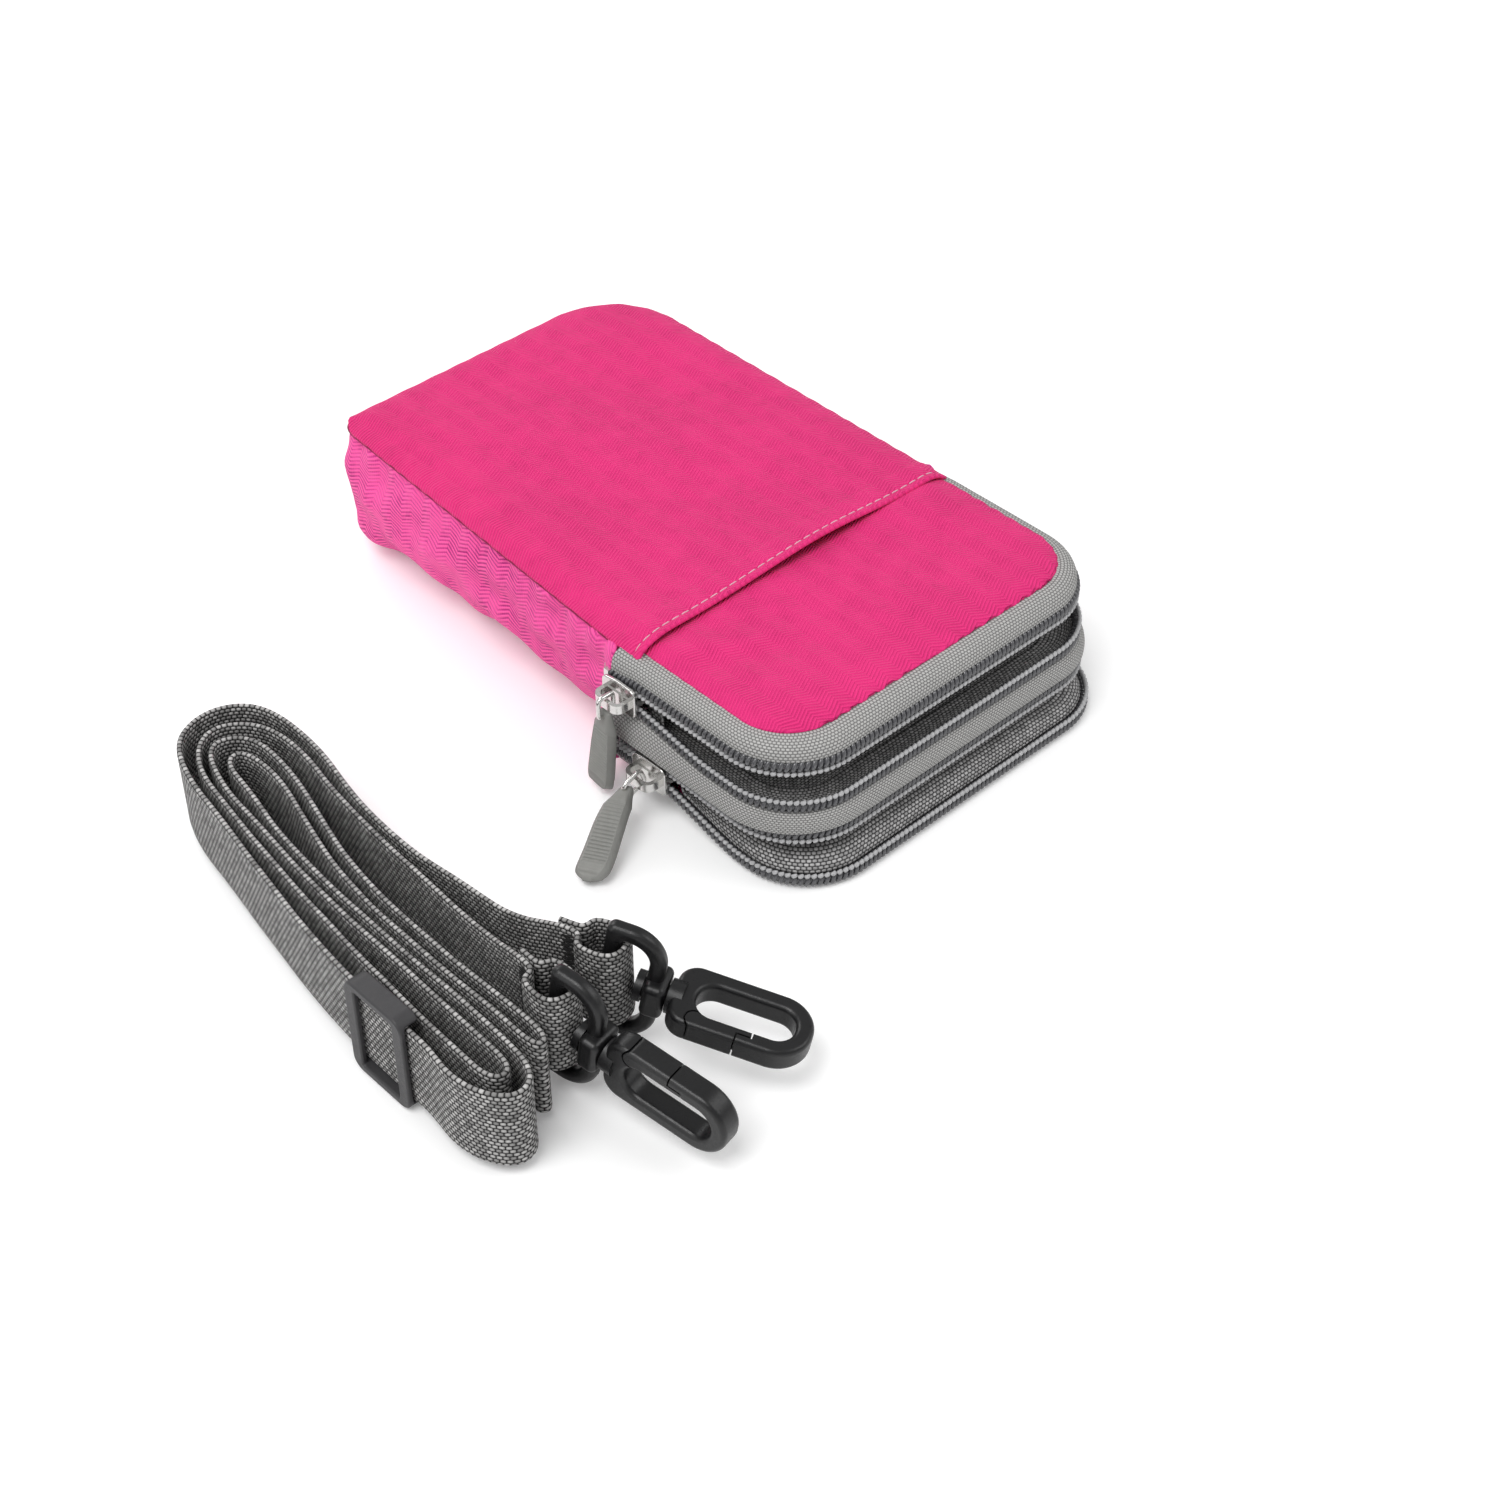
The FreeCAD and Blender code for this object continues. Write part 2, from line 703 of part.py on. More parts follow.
def end_loop(anchor, target):
    """The raised, sewn loop at one end of the strap, and the centre that its eye hangs in."""
    ahead = (target - anchor).normalize()
    side = side_of(ahead) * (webbing_thickness / 2.0)
    low_wire = [anchor + side, anchor - side]
    high_wire = [target + side, target - side]
    sections = []
    for pair, lift in ((low_wire, hank_lift), (high_wire, webbing_lift)):
        ring = [pair[0] + UP * lift, pair[1] + UP * lift,
                pair[1] + UP * (lift + webbing_width), pair[0] + UP * (lift + webbing_width)]
        sections.append(Part.makePolygon(ring + ring[:1]))
    ramp = ruled(sections)
    centre = target + ahead * (end_loop_neck + end_loop_inner_radius)
    outer = Part.makeCylinder(
        end_loop_inner_radius + webbing_thickness, webbing_width, centre + UP * webbing_lift)
    inner = Part.makeCylinder(end_loop_inner_radius, webbing_width, centre + UP * webbing_lift)
    doubled = side_of(ahead) * webbing_thickness
    base = [target + doubled, target - doubled, centre - doubled, centre + doubled]
    neck = sheet(Part.makePolygon(base + base[:1]), webbing_lift, webbing_lift + webbing_width)
    return ramp, outer.fuse(neck).cut(inner), centre


def make_webbing():
    """The strap folded into a hank on its edge, with a raised loop at each end."""
    edges, radii = route_edges(strap_route)
    print("strap radii", " ".join("%.1f" % radius for radius in radii))
    report_gap(edges)
    hank = band(edges, hank_lift, hank_lift + webbing_width)
    pieces, centres = [], []
    for anchor, target in ((strap_route[0], near_loop_route), (strap_route[-1], far_loop_route)):
        ramp, loop, centre = end_loop(V(anchor[0], anchor[1], 0), V(target[0], target[1], 0))
        pieces.extend([ramp, loop])
        centres.append(centre)
    save("strap_webbing", hank.fuse(pieces).removeSplitter())
    return centres


def make_bar_tacks():
    """The sewn tacks that close the two end loops, on both faces of the doubled webbing."""
    tacks = []
    for anchor, target in ((strap_route[0], near_loop_route), (strap_route[-1], far_loop_route)):
        start = V(target[0], target[1], 0)
        ahead = (start - V(anchor[0], anchor[1], 0)).normalize()
        for face in (1.0, -1.0):
            side = side_of(ahead) * face
            near = start + ahead * tack_margin + side * webbing_thickness
            base = [near, near + ahead * tack_length,
                    near + ahead * tack_length + side * tack_thickness, near + side * tack_thickness]
            tacks.append(sheet(Part.makePolygon(base + base[:1]), webbing_lift + tack_margin,
                               webbing_lift + webbing_width - tack_margin))
    save("bar_tacks", Part.makeCompound(tacks))


def make_adjuster():
    """The tri-glide: two outer bars before the webbing, one bar behind it, joined above and below."""
    x = adjuster_x
    room = webbing_thickness / 2.0 + adjuster_play
    low_y = adjuster_y - adjuster_length / 2.0
    high_y = adjuster_y + adjuster_length / 2.0
    front_x = x - room - adjuster_plate
    back_x = x + room + adjuster_plate
    high_z = adjuster_end_bar * 2.0 + webbing_width + adjuster_play * 2.0
    corners = [V(front_x, low_y, 0), V(front_x, high_y, 0), V(front_x, high_y, high_z), V(front_x, low_y, high_z)]
    plate = Part.Face(rounded_loop(corners, [adjuster_corner] * len(corners)))
    frame = plate.extrude(V(back_x - front_x, 0, 0))
    slot_low = adjuster_end_bar
    slot_high = high_z - adjuster_end_bar
    frame = frame.cut(box((x - room, low_y - overrun, slot_low), (back_x + overrun, high_y + overrun, slot_high)))
    frame = frame.cut(box((front_x - overrun, low_y + adjuster_bar, slot_low),
                          (x, high_y - adjuster_bar, slot_high)))
    half = adjuster_bar / 2.0
    bar = box((x + room, adjuster_y - half, slot_low - adjuster_bar_seat),
              (back_x, adjuster_y + half, slot_high + adjuster_bar_seat))
    save("adjuster", round_edges(frame.fuse(bar).removeSplitter().Solids[0], adjuster_edge_round))


# Swivel eyes and snap hooks, each made along +X with its eye's bar on Z


def make_eye():
    """A swivel eye: a ring with a straight bar for the webbing and a bored block for the stem."""
    half = eye_inner_height / 2.0
    low_u = eye_section / 2.0
    points = [V(-low_u, 0, -half - eye_section), V(eye_inner_depth + eye_section, 0, -half - eye_section),
              V(eye_inner_depth + eye_section, 0, half + eye_section), V(-low_u, 0, half + eye_section)]
    small = eye_section / 2.0
    outer = Part.Face(rounded_loop(points, [small, eye_arch_radius, eye_arch_radius, small]))
    inside = [V(low_u, 0, -half), V(eye_inner_depth, 0, -half), V(eye_inner_depth, 0, half), V(low_u, 0, half)]
    arch = eye_arch_radius - eye_section
    inner = Part.Face(rounded_loop(inside, [small / 2.0, arch, arch, small / 2.0]))
    ring = outer.cut(inner).extrude(V(0, eye_section, 0))
    ring.translate(V(0, -eye_section / 2.0, 0))
    ring = round_edges(ring.Solids[0], eye_edge_round)
    width = eye_block_width / 2.0
    height = eye_block_height / 2.0
    block = box((eye_inner_depth, -width, -height), (eye_block_end, width, height))
    block = round_edges(block, eye_edge_round)
    bore = Part.makeCylinder(stem_radius + stem_clearance, eye_block_end, V(low_u, 0, 0), V(1, 0, 0))
    return ring.fuse(block).removeSplitter().cut(bore)


def hook_ring():
    """The hook's whole outline, with its gate still closed in it, in the plane of X and Z."""
    start = eye_block_end + stem_play + collar_depth - hook_edge_round
    end = start + hook_length
    half = hook_width / 2.0
    points = [V(start, 0, -half), V(end, 0, -half), V(end, 0, half), V(start, 0, half)]
    nose = half * hook_nose_share
    neck = half * hook_neck_share
    outer = Part.Face(rounded_loop(points, [neck, nose, nose, neck]))
    low = half - hook_bar
    inside = [V(start + hook_neck, 0, -low), V(end - hook_bar, 0, -low),
              V(end - hook_bar, 0, low), V(start + hook_neck, 0, low)]
    inner = Part.Face(rounded_loop(inside, [low * hook_nose_share] * len(inside)))
    ring = outer.cut(inner).extrude(V(0, hook_thickness, 0))
    ring.translate(V(0, -hook_thickness / 2.0, 0))
    return round_edges(ring.Solids[0], hook_edge_round)


def make_hook_and_gate():
    """A snap hook with its stem and head, and the springy gate that closes it."""
    ring = hook_ring()
    start = eye_block_end + stem_play + collar_depth - hook_edge_round
    half = hook_width / 2.0
    low = half - hook_bar
    middle = half - hook_bar / 2.0
    end = start + hook_length * gate_end_share
    side = hook_thickness

    def bar(first, last, bottom, top):
        return box((first, -side, bottom), (last, side, top))

    def root(radius):
        return Part.makeCylinder(radius, side * 2.0, V(gate_root_u, -side, middle), V(0, 1, 0))

    lip = bar(end - gate_lap, end, middle + gate_gap / 2.0, half + overrun)
    opening = bar(gate_root_u, end, low - gate_gap, half + overrun).cut(lip).fuse(root(gate_root_radius + gate_gap))
    tip = bar(gate_root_u, end - gate_gap, low, middle - gate_gap / 2.0)
    leaf = bar(gate_root_u, end - gate_lap - gate_gap, low, half + overrun)
    gate = ring.common(leaf.fuse([tip, root(gate_root_radius)]))
    shaft_start = eye_inner_depth - stem_play - stem_head_depth
    head = Part.makeCylinder(stem_head_radius, stem_head_depth, V(shaft_start, 0, 0), V(1, 0, 0))
    stem = Part.makeCylinder(stem_radius, start + hook_edge_round - shaft_start, V(shaft_start, 0, 0), V(1, 0, 0))
    collar_start = eye_block_end + stem_play
    collar = Part.makeCylinder(collar_radius, collar_depth + hook_edge_round, V(collar_start, 0, 0), V(1, 0, 0))
    hook = ring.cut(opening).fuse([head, stem, collar]).removeSplitter()
    return hook, gate


def hook_directions(heading, tilt):
    """Forward, sideways and upward directions of an eye that leans down towards its hook."""
    flat = V(math.sin(heading), -math.cos(heading), 0)
    forward = flat * math.cos(tilt) - UP * math.sin(tilt)
    upward = flat * math.sin(tilt) + UP * math.cos(tilt)
    return forward, upward.cross(forward), upward


def placed(shape, place, forward, sideways, upward):
    """A piece made along +X, moved to its place."""
    turn = FreeCAD.Matrix(
        forward.x, sideways.x, upward.x, place.x,
        forward.y, sideways.y, upward.y, place.y,
        forward.z, sideways.z, upward.z, place.z,
        0, 0, 0, 1,
    )
    moved = shape.copy()
    moved.Placement = FreeCAD.Placement(turn).multiply(moved.Placement)
    return moved


def make_hooks(centres):
    """Both ends of the strap: eye, hook and gate, hung in the webbing's end loops."""
    eye = make_eye()
    hook, gate = make_hook_and_gate()
    settings = (("near", near_heading, near_tilt, near_roll), ("far", far_heading, far_tilt, far_roll))
    for (name, heading, tilt, roll), centre in zip(settings, centres):
        forward, sideways, upward = hook_directions(heading, tilt)
        place = centre + UP * (webbing_lift + webbing_width / 2.0)
        save(name + "_eye", placed(eye, place, forward, sideways, upward))
        gate_up = upward * math.sin(roll) - sideways * math.cos(roll)
        gate_side = gate_up.cross(forward)
        save(name + "_hook", placed(hook, place, forward, gate_side, gate_up))
        save(name + "_gate", placed(gate, place, forward, gate_side, gate_up))
        hinge = place + forward * gate_root_u + gate_up * (hook_width / 2.0 - hook_bar / 2.0)
        print(name, "eye", place, upward, "stem", forward, "gate hinge", hinge, gate_side)


def main():
    """Makes every piece of the pouch and its strap."""
    os.makedirs("parts", exist_ok=True)
    make_walls()
    make_slip_pocket()
    make_back_fittings()
    make_zips()
    pulls = (
        ("upper", upper_slider_y, upper_zip_z, upper_link_swing, upper_pull_turn),
        ("lower", lower_slider_y, lower_zip_z, lower_link_swing, lower_pull_turn),
    )
    for name, slider_y, zip_z, swing, turn in pulls:
        make_slider(name + "_slider", slider_y, zip_z)
        make_pull(name, slider_y, zip_z, swing, turn)
    centres = make_webbing()
    make_bar_tacks()
    make_adjuster()
    make_hooks(centres)


if __name__ == "__main__":
    main()
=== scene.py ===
"""A padded phone pouch with two open zips and its folded shoulder strap, dressed around the packed frame.

Lengths in the shape functions are millimetres in the part's own frame; put_mesh turns them into metres.
"""

import math

import bmesh
import bpy
import numpy as np
from bpy.props import FloatProperty, FloatVectorProperty, IntProperty, PointerProperty
from mathutils import Matrix, Vector


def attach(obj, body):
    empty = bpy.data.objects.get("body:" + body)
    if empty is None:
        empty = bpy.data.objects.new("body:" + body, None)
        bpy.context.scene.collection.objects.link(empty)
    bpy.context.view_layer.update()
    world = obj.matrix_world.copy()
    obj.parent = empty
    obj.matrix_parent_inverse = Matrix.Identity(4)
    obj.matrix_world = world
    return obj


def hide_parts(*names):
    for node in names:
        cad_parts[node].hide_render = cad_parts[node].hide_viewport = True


bl_info = {
    "name": "Phone pouch with shoulder strap",
    "version": (1, 0, 0),
    "blender": (4, 5, 0),
    "location": "View3D > Sidebar > Pouch",
    "description": "Dresses the packed pouch in cloth, zips, webbing and hardware",
    "category": "Object",
}

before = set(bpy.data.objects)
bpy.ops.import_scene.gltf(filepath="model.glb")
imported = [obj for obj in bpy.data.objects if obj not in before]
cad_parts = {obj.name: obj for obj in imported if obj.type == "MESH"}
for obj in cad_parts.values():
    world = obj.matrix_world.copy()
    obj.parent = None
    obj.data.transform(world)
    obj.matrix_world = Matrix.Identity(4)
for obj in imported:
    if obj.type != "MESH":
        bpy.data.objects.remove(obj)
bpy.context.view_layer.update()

MM = 0.001
TAU = 2.0 * math.pi
QUARTER = math.pi / 2.0
UP = np.array([0.0, 0.0, 1.0])

# Pouch plan
FAR_Y = 85.0
HEM_Y = -29.0
ZIP_START_Y = -21.5
LEFT_NEAR_X = -46.9
LEFT_FAR_X = -39.4
RIGHT_X = 48.0
FAR_LEFT_RADIUS = 5.0
FAR_RIGHT_RADIUS = 21.0
STITCH_INSET = 1.6

# Heights
SEAM_Z = 34.6
BACK_Z = 2.5
BACK_RADIUS = 14.0
DIVIDER_Z = 17.0

# Each mouth tongue: half width, mouth place, corner radius; the front one reaches further to the right
FRONT_RIGHT_REACH = 2.2
FRONT_TONGUE = (44.5, -71.5, 13.0)
DIVIDER_TONGUE = (45.0, -74.0, 14.0)
BACK_TONGUE = (45.5, -78.0, 15.0)

# Thick and front panels; flat panels: tongue, its shrink, far gap, rows, far radius, inset, columns, height,
# wave height, seed step, shortest and longest wave
DIVIDER_THICK = 1.4
PAD_THICK = {"front": 1.9, "back": 2.3}
FRONT_RIM_Z = 34.4
FRONT_HIDDEN_Z = 33.5
PANELS = {
    "front_lining_pad": (FRONT_TONGUE, 2.0, 3.0, 90, 18.0, 3.5, 70, 32.2, 0.15, 4, 14.0, 40.0),
    "back_panel_cloth": (BACK_TONGUE, 0.0, 12.5, 96, 9.0, 12.5, 80, 3.1, 0.12, 5, 22.0, 50.0),
    "back_lining_pad": (BACK_TONGUE, 2.0, 14.5, 90, 8.0, 14.5, 70, 5.25, 0.2, 6, 12.0, 36.0),
    "divider_cloth": (DIVIDER_TONGUE, 0.0, 2.4, 96, 18.6, 2.6, 80, DIVIDER_Z, 0.14, 8, 16.0, 40.0),
}

# Soft folds on the pocket and on the front panel below its hem: x, y, heading, half length, height
POCKET_FOLDS = (
    (22.0, 22.0, 0.62, 20.0, 0.9),
    (6.0, 8.0, 0.75, 24.0, -0.8),
    (-16.0, 34.0, 0.95, 22.0, 0.7),
    (30.0, 48.0, 0.5, 16.0, -0.7),
    (-24.0, -6.0, 1.2, 14.0, -0.6),
    (0.0, 60.0, 0.3, 20.0, 0.5),
)
FRONT_FOLDS = (
    (-34.0, -38.0, -0.55, 18.0, 0.75),
    (-30.0, -47.0, -0.35, 16.0, -0.6),
    (38.0, -36.0, -2.2, 14.0, 0.7),
    (26.0, -48.0, -2.5, 18.0, -0.5),
    (2.0, -56.0, 0.4, 22.0, 0.4),
)

# Zips: slider place, zip height, open coil height, coil mouth place, tongue
ZIP_HALF_WIDTH = 49.5
ZIP_RADIUS = 17.0
ZIP_END_GAP = 2.0
COIL_HEIGHT = 3.2
COIL_REACH = 1.2
COIL_STEPS = 12
TAPE_LOWEST = 0.75
TAPE_STARTS = {"front": 34.0, "divider_upper": 14.3, "divider_lower": 16.2, "back": 1.75}
FRONT_TAPE_CREST = 35.3
BACK_TAPE_CREST = 1.5
CLOSED_OFFSET = 1.8
NOSE_OFFSET = 3.0
OPEN_RUN = 22.0
SLIDER_LENGTH = 10.5
SLIDER_POST = 2.2
CLOSED_SHARE = 0.2
ZIPS = {
    "front": (-28.0, 26.5, 29.8, -77.0, FRONT_TONGUE),
    "divider_upper": (-28.0, 26.5, 20.5, -78.5, DIVIDER_TONGUE),
    "divider_lower": (-37.0, 10.0, 12.6, -79.5, DIVIDER_TONGUE),
    "back": (-37.0, 10.0, 2.2, -82.5, BACK_TONGUE),
}

# The lining's edge at each zip: height at the wall, crest, rise at the coil, inset, draw, the draw's reach
LIPS = {
    "front": (31.2, 31.6, 0.7, 3.2, 2.4, 11.0),
    "divider_upper": (DIVIDER_Z + 0.95, DIVIDER_Z + 1.1, -0.5, 2.5, 2.4, 11.0),
    "divider_lower": (DIVIDER_Z - 0.95, DIVIDER_Z - 1.1, 0.5, 2.5, 2.0, 8.0),
    "back": (6.5, 6.4, 0.9, 3.4, 2.0, 8.0),
}

# Loops on the back: centre, half width, half length, foot, whether it runs along x, finish, slot
BACK_LOOP_TUCK = 0.7
BACK_LOOP_THICK = 1.35
BACK_LOOPS = {
    "belt_loop": ((0.0, 22.0), 31.0, 37.0, 9.0, False, "pink_cloth", "pink_fabric"),
    "strap_loop_left": ((-31.0, -40.0), 5.0, 8.0, 4.0, True, "strap_webbing_cloth", "webbing"),
    "strap_loop_right": ((31.0, -40.0), 5.0, 8.0, 4.0, True, "strap_webbing_cloth", "webbing"),
}

# Control points of the folded strap's plan, as the part's source gives them
STRAP_ROUTE = [
    (-115.2, -60.5), (-113.8, -36.0), (-112.2, -10.0), (-108.4, 9.0), (-109.8, 22.5), (-118.6, 28.6),
    (-127.4, 21.5), (-130.8, 2.0), (-134.4, -26.0), (-136.8, -54.0), (-137.9, -78.0), (-138.0, -90.0),
    (-132.8, -90.6), (-132.6, -78.0), (-131.8, -54.0), (-131.4, -28.0), (-128.7, -4.0), (-127.0, 12.6),
    (-122.0, 24.6), (-113.6, 20.5), (-113.8, 6.0), (-118.0, -10.0), (-122.6, -28.0), (-123.9, -54.0),
    (-123.2, -77.0), (-123.2, -89.0), (-126.6, -89.2), (-126.4, -77.0), (-126.8, -54.0), (-125.9, -30.0),
    (-121.6, -11.0), (-117.0, 4.5), (-117.4, 17.4), (-122.4, 17.2), (-124.2, 5.0), (-127.4, -10.0),
    (-128.9, -30.0), (-129.3, -54.0), (-129.2, -80.0), (-130.6, -94.4), (-137.8, -96.6), (-143.2, -86.5),
    (-141.3, -73.0), (-141.0, -46.0), (-137.6, -22.0), (-133.4, 2.0), (-130.6, 20.0), (-125.4, 30.6),
    (-115.0, 33.6), (-106.0, 27.0), (-104.9, 10.0), (-109.4, -10.0), (-111.0, -28.0), (-109.2, -46.0),
    (-108.1, -61.0),
]
NEAR_LOOP = (-115.7, -72.2)
FAR_LOOP = (-104.7, -71.0)
HANK_LIFT = 2.35
LOOP_LIFT = 6.8
LOOP_NECK = 6.3
LOOP_RADIUS = 4.4
ADJUSTER_PLACE = (-141.15, -61.0)

# Each pull: the link's place on its slider, the link's swing, the pull's turn on it, the rubber's bend
PULLS = {
    "upper": ((-55.55, -28.0, 26.5), 0.0, -8.0, 0.0),
    "lower": ((-55.55, -37.0, 10.0), 70.0, 24.0, 0.7),
}
LINK_DROP = 3.3
PULL_HEAD, PULL_TIP, PULL_ROUND = -1.2, 22.2, 4.0
PULL_THICK = 3.2
RIB_PITCH = 0.86

# Hardware that keeps its own solids, by finish
HOOKS = ("near_eye", "near_hook", "near_gate", "far_eye", "far_hook", "far_gate")
HARDWARE = {
    "slider_nickel": [one + part for part in ("_slider", "_link", "_zip_stops") for one in ("upper", "lower")],
    "hook_plastic": HOOKS,
    "adjuster_plastic": ("adjuster",),
}

# Camera and lamps, metres: each lamp's place, width and power
CAMERA_PLACE = (-0.3224, -0.3534, 0.3860)
CAMERA_BACK = (-0.515, -0.542, 0.664)
CAMERA_LENS = 62.4
LAMP_TARGET = (-0.02, -0.02, 0.0)
LAMPS = {
    "key_lamp": ((-0.55, -0.15, 1.0), 0.7, 6.8),
    "fill_lamp": ((0.75, -0.7, 0.8), 0.8, 3.4),
    "far_lamp": ((0.1, 0.9, 0.8), 0.7, 3.4),
    "side_lamp": ((-0.9, 0.05, 0.35), 0.6, 0.9),
}
FLOOR_SIDE = 4000.0
FLOOR_Z = -0.3
FLOOR_GLOW = 0.13
WORLD_LIGHT = 0.5
WORLD_SEEN = 0.95

# Settings a user may change: words, default in metres or in linear colour
SIZES = {
    "crown": ("How far the pocket rises above its seam", 0.0031),
    "wrinkle": ("Height of the soft folds in the cloth", 0.00055),
    "bulge": ("How far the side swells past its seam", 0.0011),
    "gape": ("How far the pocket's hem stands open", 0.0013),
    "cloth": ("Thickness of the outer cloth", 0.0011),
    "lining": ("Thickness of the lining", 0.0005),
    "tape": ("Thickness of the zip tape", 0.0007),
    "coil_pitch": ("Distance from one zip tooth to the next", 0.00135),
    "coil_wire": ("Radius of the zip coil's monofilament", 0.00056),
    "stitch": ("Length of one sewn stitch", 0.0022),
    "thread": ("Radius of the sewing thread", 0.00017),
    "webbing_width": ("Width of the strap", 0.020),
    "webbing": ("Thickness of the strap", 0.0013),
}
COLOURS = {
    "pink": ("Hot pink woven cloth", (0.84, 0.032, 0.216)),
    "pink_deep": ("Darker threads of the pink cloth", (0.48, 0.010, 0.115)),
    # Paler pink of the side wall: partly its own coarser cloth, partly painted light and sheen
    "pink_side": ("Paler pink threads on the side", (1.0, 0.10, 0.395)),
    "pink_fleck": ("Purple threads on the side", (0.42, 0.010, 0.170)),
    "tape": ("Light grey twill tape", (0.50, 0.495, 0.485)),
    "chain": ("Grey thread that holds the zip coil", (0.56, 0.56, 0.57)),
    "lining": ("Grey woven lining", (0.62, 0.61, 0.61)),
    "coil": ("Charcoal monofilament", (0.062, 0.062, 0.068)),
    "thread": ("Pale sewing thread", (0.86, 0.50, 0.60)),
    "webbing_light": ("Light threads of the strap", (0.62, 0.61, 0.60)),
    "webbing_dark": ("Dark threads of the strap", (0.010, 0.0095, 0.0095)),
    "rubber": ("Moulded grey rubber", (0.235, 0.235, 0.222)),
    "plastic": ("Black satin plastic", (0.005, 0.005, 0.0055)),
    "adjuster": ("Charcoal plastic", (0.035, 0.034, 0.036)),
    "metal": ("Bright nickel", (0.82, 0.81, 0.79)),
    "floor": ("Plain pale floor", (0.96, 0.96, 0.96)),
}


def label(key):
    """A setting's name as a user reads it."""
    return key.replace("_", " ").capitalize()


class PouchSizes(bpy.types.PropertyGroup):
    """Sizes of the cloth, the zips and the strap."""

    __annotations__ = {
        key: FloatProperty(name=label(key), description=words, default=default, unit="LENGTH")
        for key, (words, default) in SIZES.items()
    }
    __annotations__["seed"] = IntProperty(name="Seed", description="Chooses the folds' pattern", default=7)


class PouchColours(bpy.types.PropertyGroup):
    """Colours of the cloths, the plastics and the threads."""

    __annotations__ = {
        key: FloatVectorProperty(
            name=label(key), description=words, subtype="COLOR", size=3, min=0.0, max=1.0, default=default
        )
        for key, (words, default) in COLOURS.items()
    }


def sizes_mm():
    """The user's sizes in millimetres, and the seed."""
    given = bpy.context.scene.pouch_sizes
    return {key: getattr(given, key) / MM for key in SIZES} | {"seed": given.seed}


# Meshes


def grid_faces(rows, columns, start=0, wrap_columns=False):
    """The quads of a grid of points that are numbered row by row."""
    across = columns if wrap_columns else columns - 1
    row, column = np.meshgrid(np.arange(rows - 1), np.arange(across), indexing="ij")
    here, after = row * columns, (row + 1) * columns
    following = (column + 1) % columns
    corners = (here + column, here + following, after + following, after + column)
    return start + np.stack(corners, -1).reshape(-1, 4)


def put_mesh(name, points, quads, uv, material):
    """A mesh object from points in millimetres, quads and one texture place per point."""
    mesh = bpy.data.meshes.new(name)
    points = np.asarray(points, np.float32).reshape(-1, 3) * MM
    quads = np.asarray(quads, np.int32).reshape(-1, 4)
    mesh.vertices.add(len(points))
    mesh.vertices.foreach_set("co", points.ravel())
    mesh.loops.add(quads.size)
    mesh.loops.foreach_set("vertex_index", quads.ravel())
    mesh.polygons.add(len(quads))
    mesh.polygons.foreach_set("loop_start", np.arange(0, quads.size, 4, dtype=np.int32))
    mesh.polygons.foreach_set("use_smooth", np.ones(len(quads), bool))
    places = mesh.uv_layers.new(name="cloth")
    places.data.foreach_set("uv", (np.asarray(uv, np.float32).reshape(-1, 2) * MM)[quads.ravel()].ravel())
    mesh.update(calc_edges=True)
    mesh.validate()
    work = bmesh.new()
    work.from_mesh(mesh)
    bmesh.ops.recalc_face_normals(work, faces=work.faces)
    work.to_mesh(mesh)
    work.free()
    piece = bpy.data.objects.new(name, mesh)
    bpy.context.scene.collection.objects.link(piece)
    mesh.materials.append(material)
    return piece


def unit(vectors):
    """Vectors scaled to length one."""
    return vectors / np.maximum(np.linalg.norm(vectors, axis=-1, keepdims=True), 1e-9)


def repeated(vector, count):
    """One vector on each of many rows."""
    return np.repeat(np.asarray(vector)[None], count, 0)


def run_along(line):
    """Distance along a line at each of its points."""
    return np.concatenate([[0.0], np.cumsum(np.linalg.norm(np.diff(line, axis=0), axis=-1))])


def at_run(wanted, run, values):
    """Values of a line's points carried to chosen distances along it."""
    return np.stack([np.interp(wanted, run, column) for column in values.T], -1)


def surface_normals(grid):
    """Normals of a grid surface: the cross product of its two running directions."""
    return unit(np.cross(np.gradient(grid, axis=0), np.gradient(grid, axis=1)))


def round_edge(index):
    """The outermost entries of a grid in order round it."""
    return np.concatenate([index[0, :-1], index[:-1, -1], index[-1, :0:-1], index[:0:-1, 0]])


def closed_sheet(name, grid, thickness, uv, material):
    """A sheet with thickness: the grid moved half a thickness each way along its normal, closed by a rim.

    The rim's middle line stands half a thickness outside the grid's edge. The thickness is one number, or one
    for each grid point.
    """
    rows, columns = grid.shape[:2]
    count = rows * columns
    normals = surface_normals(grid)
    half = np.broadcast_to(np.asarray(thickness, float) / 2.0, (rows, columns))[..., None]
    index = np.arange(count).reshape(rows, columns)
    edge = round_edge(index)
    within = round_edge(np.pad(index[1:-1, 1:-1], 1, mode="edge"))
    flat = grid.reshape(-1, 3)
    rim = flat[edge] + unit(flat[edge] - flat[within]) * half.reshape(-1, 1)[edge]
    around = 2 * count + np.arange(len(edge))
    upper = np.stack([edge, np.roll(edge, -1), np.roll(around, -1), around], -1)
    lower = np.stack([around, np.roll(around, -1), count + np.roll(edge, -1), count + edge], -1)
    front, back = (grid + normals * half).reshape(-1, 3), (grid - normals * half).reshape(-1, 3)
    points = np.concatenate([front, back, rim])
    faces = grid_faces(rows, columns)
    quads = np.concatenate([faces, faces[:, ::-1] + count, upper, lower])
    flat_uv = uv.reshape(-1, 2)
    return put_mesh(name, points, quads, np.concatenate([flat_uv, flat_uv, flat_uv[edge]]), material)


